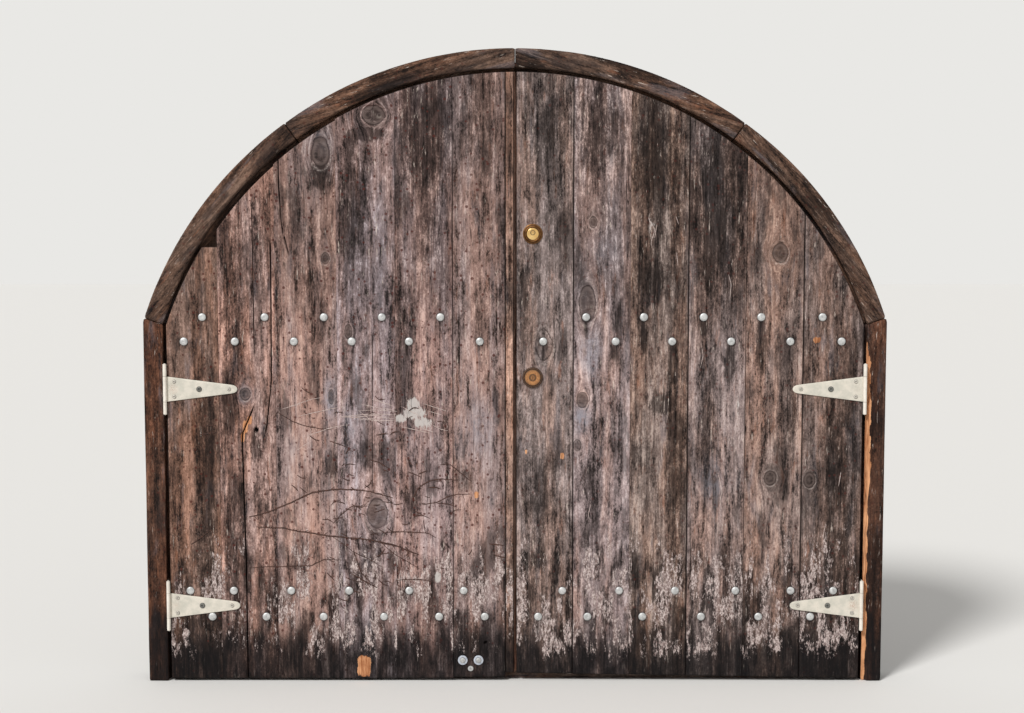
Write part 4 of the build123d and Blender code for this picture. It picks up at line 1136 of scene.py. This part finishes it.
# screws: shares of the head's radius and height, with painted shade at the head's rim and in its sunk drive, large
# ones of dark metal
screw = {
    "sides": 20, "base": door["front"] - hinge["thick"], "large": 7, "rise": (1.8, 2.6),
    "shank": ((2.4, -29, 1), (2.4, -1, 1)), "lip": ((0.99, -0.4), (1, 0.2)),
    "head": (
        (0.99, 0.3, 1), (0.93, 0.7, 0.6), (0.78, 1, 0), (0.4, 1, 0), (0.34, 0.9, 0.4), (0.28, 0.45, 0.6),
        (0.14, 0.3, 0.4), (0, 0.3, 0.3),
    ),
}
for leaf in leaves:
    bag = newBag()
    for low, high in looseParts(leaf + "_strap_screws"):
        radius = min(high.x - low.x, high.z - low.z) / 2 / mm
        large = int(radius > screw["large"])
        profile = [*screw["shank"], *[(radius * share, out, 1) for share, out in screw["lip"]]]
        profile += [(radius * share, screw["rise"][large] * up, dirtAndShade) for share, up, dirtAndShade in screw["head"]]
        x, z = middleOf(low, high)
        turnedPart(bag, profile, (x, screw["base"], z), screw["sides"], "front", large)
    finishPiece(leaf + "_hinge_screws", bag, ["screwZinc", "darkScrew"], leaf + "_strap_screws", 35)
# two bolts on washers and a screw hold the foot bolt's plate; their third numbers paint shade where they sit on the
# plate and round the washer's hole
footFixings = {
    "sides": 30, "wide": 0.025,  # from this breadth on it is a bolt
    "washer": (
        (5.8, 0, 1), (14.6, 0, 1), (14.8, 0.6, 0.7), (14.6, 1.8, 0.1), (13.8, 2.2, 0), (9.2, 2.2, 0), (8.4, 2.1, 0.8),
    ),
    "bolt": (
        (0, -44, 0.4), (4.2, -44, 0.4), (4.2, 0, 1), (8.6, 2, 1), (8.6, 2.8, 0.9), (7.8, 4, 0.2), (5.6, 4.8, 0),
        (2.6, 4.99, 0), (0, 4.99, 0.05),
    ),
    "screw": (
        (0, -28, 0.4), (2.4, -28, 0.4), (2.4, 0, 1), (8.8, 0, 1), (8.9, 0.8, 0.8), (7.8, 2.2, 0.2), (5.2, 2.9, 0.1),
        (2.4, 3, 0.4), (0, 2.6, 0.6),
    ),
}
bag = newBag()
for low, high in looseParts("foot_bolt_fixings"):
    x, z = middleOf(low, high)
    for kind in ("washer", "bolt") if high.x - low.x > footFixings["wide"] else ("screw",):
        paint = 0 if kind == "washer" else 1
        turnedPart(bag, footFixings[kind], (x, door["front"], z), footFixings["sides"], "front", paint)
finishPiece("foot_bolt_washers", bag, ["washerZinc", "boltZinc"], "foot_bolt_fixings", 35)
print("bolts and hinges made")

# locks: turned collar and cylinder, and a key plug that turns; their third numbers paint grime and shade at the
# collar's foot, inside the collar, in the keyway and in the groove round the plug
locks = {
    "upper": {
        "collar": (
            (29.6, -2, 1), (29.9, 0.3, 1), (29.9, 1.4, 0.35), (29.2, 2.3, 0.1), (27.6, 2.8, 0), (26.8, 2.8, 0.45),
            (26.2, 3.6, 0.1), (24.6, 5.8, 0), (23.4, 7.9, 0), (22.6, 8.7, 0), (21.4, 9, 0), (19.8, 8.8, 0),
            (18.9, 8, 0.3), (18.4, 6, 1), (18.4, 3, 1),
        ),
        "cylinder": (
            (17.8, -32, 0.5), (17.8, 6, 1), (17.8, 8.8, 0.5), (17.4, 9.6, 0), (16.6, 10, 0), (12, 10, 0), (0, 9.9, 0),
        ),
        "plug": 6.6, "lift": 0.004, "stand": 10, "metal": ("polishedBrass", "brassRing"), "dirtAndShade": 0.45,
    },
    "lower": {
        "collar": (
            (30.6, -2, 1), (30.9, 0.3, 1), (30.9, 2.6, 0.6), (30.3, 4.2, 0.3), (29.4, 5.3, 0.2), (28.2, 5.8, 0.2),
            (26.8, 5.9, 0.3), (25.8, 5.4, 0.7), (25.4, 3.5, 1), (25.4, 1, 1),
        ),
        "cylinder": (
            (24.8, -32, 0.5), (24.8, 3, 1), (24.8, 5.2, 0.95), (24.3, 6.3, 0.85), (23, 6.9, 0.65), (20.8, 7, 0.35),
            (17, 7, 0.1), (12.4, 7, 0.1), (11, 6.8, 0.6), (0, 6.7, 0.4),
        ),
        "plug": 9, "lift": 0.0, "stand": 7, "metal": ("agedBrass", "agedRing"), "dirtAndShade": 0.8,
    },
}
# the keyway is its half width in mm and its share of the plug
lockShape = {"x": 0.053, "collarSides": 56, "sides": 48, "keyway": (1.1, 0.7)}


def plugPart(bag, look, middle):
    # the plug's face with an open keyway, and its body down to the turn behind
    radius, stand, dirtAndShade = look["plug"], look["stand"], look["dirtAndShade"]
    slotHalf, slotShare = lockShape["keyway"]
    corners = [math.atan2(s * slotShare, c * 0.17) % (2 * math.pi) for s in (-1, 1) for c in (-1, 1)]
    angles = np.sort(np.concatenate([np.linspace(0, 2 * math.pi, 40, endpoint=False), corners]))
    shape = [(1, -8.5, 0.5), (1, stand + 0.1, 1), (0.93, stand + 0.5, 0.55), (0.62, stand + 0.5, dirtAndShade)]
    shape += [(0.4, stand + 0.5, 0), (0, stand + 0.5, 0.3 + dirtAndShade * 0.5), (0, stand - 6, 1)]
    verts, grimeAndShade = [], []
    for share, out, dark in shape:  # from the rim, where share is 1, to the keyway's edge
        for c, s in zip(np.cos(angles), np.sin(angles)):
            cut = min(slotHalf / max(abs(c), 1e-6), radius * slotShare / max(abs(s), 1e-6))
            far = (radius * share + cut * (1 - share)) * mm
            verts.append((middle[0] + far * c, middle[1] - out * mm, middle[2] + far * s))
            grimeAndShade.append(dark)
    addTo(bag, verts, loft(len(angles), len(shape), False), grimeAndShade)


for row, look in locks.items():
    x, z = lockShape["x"], middleOf(*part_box(row + "_lock_collar"))[1]
    collar, cylinder, plug = newBag(), newBag(), newBag()
    turnedPart(collar, look["collar"], (x, door["front"], z), lockShape["collarSides"])
    finishPiece(row + "_lock_ring", collar, [look["metal"][1]], row + "_lock_collar", 50)
    turnedPart(cylinder, look["cylinder"], (x, door["front"], z), lockShape["sides"])
    finishPiece(row + "_lock_core", cylinder, [look["metal"][0]], row + "_lock_cylinder", 50)
    middle = (x, door["front"], z + look["lift"])
    plugPart(plug, look, middle)
    groove = [(look["plug"] + wide, look["stand"] + out, dirtAndShade) for wide, out, dirtAndShade in (
        (-0.2, -0.4, 1), (0.2, 0.2, 1), (1.2, 0.05, 0.9),
    )]
    turnedPart(plug, groove, middle, 40)
    finishPiece(row + "_lock_key_plug", plug, [look["metal"][0]], row + "_lock_plug", 35)
print("locks made")

# frame and ledges: the solids turned into fine meshes, weathered inwards
timbers = {
    "frame": {"wood": ((128, 92, 74), (88, 60, 47), (34, 25, 22)), "stain": 0.55, "specks": 0.5, "seed": 21},
    "head": {"wood": ((132, 104, 88), (92, 70, 58), (36, 28, 25)), "stain": 0.55, "specks": 0.4, "seed": 24},
    "sill": {"wood": ((126, 108, 98), (88, 74, 67), (34, 28, 26)), "stain": 0.6, "specks": 0.4, "seed": 27},
    "ledge": {"wood": ((178, 148, 118), (142, 112, 86), (66, 48, 38)), "stain": 0.3, "specks": 0.3, "seed": 30},
    "tenon": {"wood": ((190, 156, 118), (160, 124, 88), (90, 64, 44)), "stain": 0.1, "specks": 0.1, "seed": 33},
}
timberMesh = {"frame": 0.0046, "head": 0.0054, "ledge": 0.0062}
timberWear = {
    "depth": 0.0011, "ridges": ((0.009, 0.12, 0.6), (0.024, 0.3, 0.8)), "dark": (0.04, 0.2), "tone": (0.05, 0.3),
    "foot": (0.02, 0.4), "breadth": ((0.1, 0.035, 0.0085), (0.1, 0.16, 0.006)), "ragged": (0.006, 0.022),
    "torn": 1.0555, "tornTop": 1.04,  # where the right jamb's torn edge begins, and where it ends
}
for kind, look in timbers.items():
    boardMaterial("timber_" + kind, look)


def fineCopy(node, voxel):
    form = bpy.data.objects.new(node + "_form", nodes[node].data.copy())
    scene.collection.objects.link(form)
    form.modifiers.new("weld", "WELD").merge_threshold = 1e-6
    change = form.modifiers.new("voxels", "REMESH")
    change.mode = "VOXEL"
    change.voxel_size = voxel
    graph = bpy.context.evaluated_depsgraph_get()
    mesh = bpy.data.meshes.new_from_object(form.evaluated_get(graph))
    bpy.data.objects.remove(form)
    return mesh


def weatherTimber(node, kind, along, across):
    # along and across are the timber's own directions in the door's plane
    mesh = fineCopy(node, timberMesh[kind])
    low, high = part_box(node)
    co, normal = coordsOf(mesh).astype(float), np.zeros(len(mesh.vertices) * 3, np.float32)
    mesh.vertex_normals.foreach_get("vector", normal)
    maker = np.random.default_rng(int(timbers[kind]["seed"] * 10 + abs(low.x) * 97 + high.z * 13))
    x, y, z = co.T
    run = x * along[0] + z * along[1]
    wide = x * across[0] + z * across[1]
    around = wide + y * 0.83
    worn = timberWear["depth"] * np.clip(layered(maker, around, run, timberWear["ridges"]), 0, 1.4)
    inwards = co - normal.reshape(-1, 3) * worn[:, None]
    marks = {"knot": np.full_like(x, 4.0)}
    marks["dark"] = smooth(softField(maker, around, run, *timberWear["dark"]), 0.45, 0.9) * 0.7
    marks["tone"] = 0.82 + 0.36 * softField(maker, around, run, *timberWear["tone"])
    if node.endswith("jamb"):
        wobble = softField(maker, around, run, *timberWear["foot"])
        marks["foot"] = 1.2 * (1 - smooth(z - 0.16 * wobble, 0.0, 0.22))
    if node == "right_jamb":  # where the inner edge has torn away
        edge, end = timberWear["torn"], timberWear["tornTop"]
        torn = smooth(x, 1.052, edge) * (1 - smooth(y, -0.0392, -0.0375)) * (1 - smooth(z, 1.03, 1.045))
        breadth = 0.0055 + layered(maker, x * 0, run, timberWear["breadth"])
        breadth *= 0.25 + 0.75 * smooth(end - z, 0.0, 0.09)
        ragged = 0.62 + 0.62 * softField(maker, x, run, *timberWear["ragged"])
        marks["fresh"] = ragged * torn * (1 - smooth(x - edge - breadth, -0.0016, 0.0016))
        marks["foot"] = np.maximum(marks["foot"], 0.45 * torn)
    mesh.vertices.foreach_set("co", inwards.astype(np.float32).ravel())
    smoothFaces(mesh)
    for mark, values in marks.items():
        setMark(mesh, mark, values)
    setMark(mesh, "grainPlace", np.stack([wide, y, run], -1))
    addPiece(node + "_timber", mesh, ["timber_" + kind], node)


for side in leaves:
    weatherTimber(side + "_jamb", "frame", (0, 1), (1, 0))
    for row in levels:
        weatherTimber(f"{side}_{row}_ledge", "ledge", (1, 0), (0, 1))
for number in range(1, 5):
    x, z = middleOf(*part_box(f"head_piece_{number}"))
    angle = math.atan2(z - door["archCentre"] + 0.1, x)
    c, s = math.cos(angle), math.sin(angle)
    weatherTimber(f"head_piece_{number}", "head", (-s, c), (c, s))
print("frame and ledges made")

# plainer fittings: the solid's own edges eased by this width
easedEdges = {
    "lock_case": (0.0022, "lacquer"), "keeper": (0.0016, "lacquer"), "lock_turn": (0.0012, "lacquer"),
    "lock_latch": (0.0008, "bareSteel"), "foot_bolt_plate": (0.0006, "bareSteel"),
    "foot_bolt_bar": (0.0008, "bareSteel"), "cross_leaf_screws": (0.0003, "backZinc"),
    "head_tenons": (0.001, "timber_tenon"), "sill": (0.0018, "timber_sill"),
}


def softened(node, width, material):
    mesh = bmesh.new()
    mesh.from_mesh(nodes[node].data)
    bmesh.ops.remove_doubles(mesh, verts=mesh.verts, dist=1e-6)
    bmesh.ops.dissolve_limit(mesh, angle_limit=math.radians(0.5), verts=mesh.verts, edges=mesh.edges)
    edges = [edge for edge in mesh.edges if len(edge.link_faces) == 2]
    sharp = [edge for edge in edges if edge.calc_face_angle(0) > math.radians(35)]
    bmesh.ops.bevel(
        mesh, geom=sharp, offset=width, segments=2, profile=0.6, affect="EDGES", clamp_overlap=True
    )
    bmesh.ops.triangulate(mesh, faces=[face for face in mesh.faces if len(face.verts) > 4])
    form = bpy.data.meshes.new(node + "_eased")
    mesh.to_mesh(form)
    mesh.free()
    smoothFaces(form, 40)
    if material.startswith("timber"):  # the marks that the wood's material reads
        co = coordsOf(form)
        setMark(form, "grainPlace", co[:, ::-1])
        setMark(form, "tone", np.full(len(co), 0.9))
        setMark(form, "knot", np.full(len(co), 4.0))
    addPiece(node + "_eased", form, [material], node)


for row in levels:
    for kind in ("lock_case", "keeper", "lock_turn", "lock_latch"):
        softened(f"{row}_{kind}", *easedEdges[kind])
for node in ("foot_bolt_plate", "foot_bolt_bar", "cross_leaf_screws", "head_tenons", "sill"):
    softened(node, *easedEdges[node])
print("fittings eased")

# dried climber stems that cling to the left leaf: each path is across, down, across, down in pixels
climber = {
    "radius": (0.001, 0.0017), "mainRadius": 0.0019, "mains": 2, "twigs": 0.16, "fragments": 90,
    "stems": [
        [
            249, 517, 258, 515, 273, 510, 285, 505, 300, 498, 313, 492, 325, 490.6, 340, 489, 352, 489.6, 369, 491,
            378, 494, 390, 497,
        ],
        [260, 527, 283, 528, 292, 530, 304, 532, 317, 534, 333, 536.5, 354, 538, 377, 541, 396, 545.5, 419, 555],
        [333, 537, 348, 548, 357, 554, 373, 561, 382, 567.5], [333, 523.5, 340, 515, 352, 506, 367, 506],
        [252, 567.5, 277, 566.5, 299, 566, 311, 565.5, 325, 559, 342, 560], [191, 544.5, 201, 537, 211, 530],
        [277, 412.5, 292, 421, 304, 426, 331, 430], [329, 441, 347, 447], [369, 460, 378, 462, 390, 469],
        [386, 532, 412, 532, 427, 533, 436, 538], [354, 553, 361, 573, 376, 587.5], [327, 573, 334, 580],
        [352, 574, 364, 581, 377, 587.5], [413.5, 497, 418, 488, 428, 481, 439, 479, 457, 480],
        [422, 505, 437, 502, 447, 497, 458, 494, 470, 494], [437, 503, 447, 504, 456.5, 507],
        [449, 464, 462, 474, 470, 481], [380, 542.5, 399, 547, 418, 555], [380, 542.5, 397, 556, 420, 569],
        [395, 581, 405, 579, 424, 580, 433.5, 582], [411.5, 510, 430, 518.6], [423, 520.5, 425, 533],
        [408, 472, 421, 477], [489, 544, 504, 545], [494, 555, 505, 558], [199.6, 434.5, 216, 432.6],
        [202.5, 426, 216, 425.5],
    ],
}
scratches = {
    "radius": (0.0008, 0.0013),
    "left": [
        [392, 417, 372, 415.5, 352, 417.5, 331, 416], [398, 420, 380, 421, 362, 419.5],
        [430, 424, 441, 429.5, 450, 431], [396, 413, 374, 407, 356, 403], [276, 410.6, 292, 406, 306, 402.6],
        [351, 410.6, 375, 410, 398, 411.6], [336, 414.4, 366, 419, 398, 422], [380, 407, 399.5, 412.5],
        [425, 410, 445, 416], [421, 428, 435, 432.6], [281, 409, 312, 399, 331, 396],
        [290, 418, 330, 409, 352, 405], [337, 417, 370, 414, 402, 415], [350, 421, 380, 417.5, 400, 419],
        [300, 438, 330, 428, 350, 424], [398, 426, 420, 431, 434, 434], [418, 402, 440, 409, 452, 413],
        [368, 398, 396, 407], [405, 396, 412, 410], [398, 405, 424, 418], [356, 409, 376, 424],
        [294, 452, 312, 440],
    ],
    "right": [
        [651, 206, 648.5, 219, 655, 230, 650.5, 242, 653, 254], [647, 214, 651, 226, 648, 236],
        [657, 222, 654, 240], [676, 250, 678, 268], [675, 214, 679, 226], [727, 270, 731, 284, 729, 306],
        [737.5, 390, 736, 408, 738, 422, 734, 440], [700, 338, 703, 356, 699, 372],
        [592, 500, 588, 514, 590, 524], [676, 516, 678, 530], [661, 448, 662, 462],
        [717, 470, 722, 492, 718, 506], [826, 520, 823, 536, 827, 548], [841, 470, 838, 488],
    ],
}


def leafSurface(leaf):
    verts, faces = [], []
    for mesh in (board.data for name, board in planks.items() if name.startswith(leaf)):
        first = len(verts)
        verts += [vert.co.copy() for vert in mesh.vertices]
        quads = [face.vertices for face in mesh.polygons if len(face.vertices) == 4]
        faces += [[first + corner for corner in quad] for quad in quads]
    return BVHTree.FromPolygons(verts, faces)


def traced(points, step, surface, maker, wander):
    # a smooth path through the pixels' places, laid on the planks' face
    spots = np.array([atPixel(*point) for point in np.reshape(points, (-1, 2))])
    length = np.concatenate([[0], np.cumsum(np.hypot(*np.diff(spots, axis=0).T))])
    along = np.linspace(0, length[-1], max(4, int(length[-1] / step)))
    x, z = np.interp(along, length, spots[:, 0]), np.interp(along, length, spots[:, 1])
    for _ in range(3):
        for line in (x, z):
            line[1:-1] = (line[:-2] + 2 * line[1:-1] + line[2:]) / 4
    bend = np.sin(along / 0.013 + maker.uniform(0, 6)) + 0.6 * np.sin(along / 0.0047 + maker.uniform(0, 6))
    path = []
    for px, pz in zip(x, z + bend * wander):
        hit = surface.ray_cast(Vector((px, -0.2, pz)), Vector((0, 1, 0)))[0]
        path.append(Vector((px, min(hit.y, door["front"] + 0.002) if hit else door["front"] + 0.001, pz)))
    return path


def tubeAlong(bag, path, radii, sides=6):
    verts = []
    for i, here in enumerate(path):
        ahead = (path[min(i + 1, len(path) - 1)] - path[max(i - 1, 0)]).normalized()
        side = ahead.cross(Vector((0, 1, 0))).normalized()
        out = side.cross(ahead).normalized()
        for angle in (2 * math.pi * k / sides for k in range(sides)):
            verts.append(here + side * (math.cos(angle) * radii[i]) + out * (math.sin(angle) * radii[i]))
    addTo(bag, verts, loft(sides, len(path)))


def plainMaterial(title, light, dark, scale, rough):
    tree = newTree(title)
    cloud = noise(read(tree, "TexCoord", "Object"), (scale,) * 3, 4, 0.65)
    color = blend(ease(cloud, 0.35, 0.65), tint(*dark), tint(*light))
    coat(tree, {"Color": color, "Roughness": cloud * 0.3 + (rough - 0.15), "Height": cloud}, 0.5, 0.3 * mm)


plainMaterial("driedStem", (82, 50, 38), (42, 26, 20), 220, 0.85)
plainMaterial("scrapedWood", (206, 190, 183), (166, 144, 136), 260, 0.9)
surfaces = {leaf: leafSurface(leaf) for leaf in leaves}
maker = np.random.default_rng(77)
stemPaths = list(climber["stems"])
for _ in range(climber["fragments"]):  # short bits strewn round the stems
    across, down = maker.normal(372, 52), maker.normal(505, 58)
    if 258 < across < 496 and 386 < down < 604:
        swing, reach = maker.normal(0.12, 0.5), maker.uniform(3, 12)
        bend = maker.uniform(-0.25, 0.25)
        run, rise = math.cos(swing) * reach, math.sin(swing) * reach
        halfway = [across + run / 2 - bend * rise, down + rise / 2 + bend * run]
        stemPaths.append([across, down, *halfway, across + run, down + rise])
stems = newBag()
for number, points in enumerate(stemPaths):
    path = traced(points, 0.0035, surfaces["left"], maker, 0.0006)
    thick = climber["mainRadius"] if number < climber["mains"] else maker.uniform(*climber["radius"])
    for spot in range(3, len(path) - 2):
        if maker.random() < climber["twigs"]:
            ahead = (path[spot + 1] - path[spot - 1]).normalized()
            swing = maker.uniform(0.5, 1.2) * maker.choice((-1, 1))
            way = Matrix.Rotation(swing, 3, "Y") @ ahead
            reach = maker.uniform(0.004, 0.02)
            sag = Vector((0, 0, -0.15 * reach))
            twig = [path[spot] + way * reach * t + sag * (t * t) for t in (0, 0.35, 0.7, 1)]
            tubeAlong(stems, twig, [thick * k for k in (0.5, 0.42, 0.34, 0.2)], 5)
    share = np.linspace(0, 1, len(path))
    radii = thick * (0.35 + 0.65 * np.sin(np.pi * np.clip(share * 0.9 + 0.08, 0, 1)) ** 0.5)
    tubeAlong(stems, [spot + Vector((0, -0.2 * thick, 0)) for spot in path], radii)
scraped = {"left": newBag(), "right": newBag()}
for leaf, bag in scraped.items():
    for points in scratches[leaf]:
        path = traced(points, 0.004, surfaces[leaf], maker, 0.0002)
        share = np.linspace(0, 1, len(path))
        radii = maker.uniform(*scratches["radius"]) * np.sin(np.pi * np.clip(share * 0.94 + 0.03, 0, 1))
        tubeAlong(bag, [spot + Vector((0, 0.00045, 0)) for spot in path], radii + 0.0001, 5)


def onLeaf(title, bag, material, body):
    mesh = bagMesh(title, bag)
    smoothFaces(mesh)
    addPiece(title, mesh, [material], None, body)


onLeaf("climber_stems", stems, "driedStem", "left_leaf")
onLeaf("left_leaf_scratches", scraped["left"], "scrapedWood", "left_leaf")
onLeaf("right_leaf_scratches", scraped["right"], "scrapedWood", "right_leaf")
print("stems and scratches made")
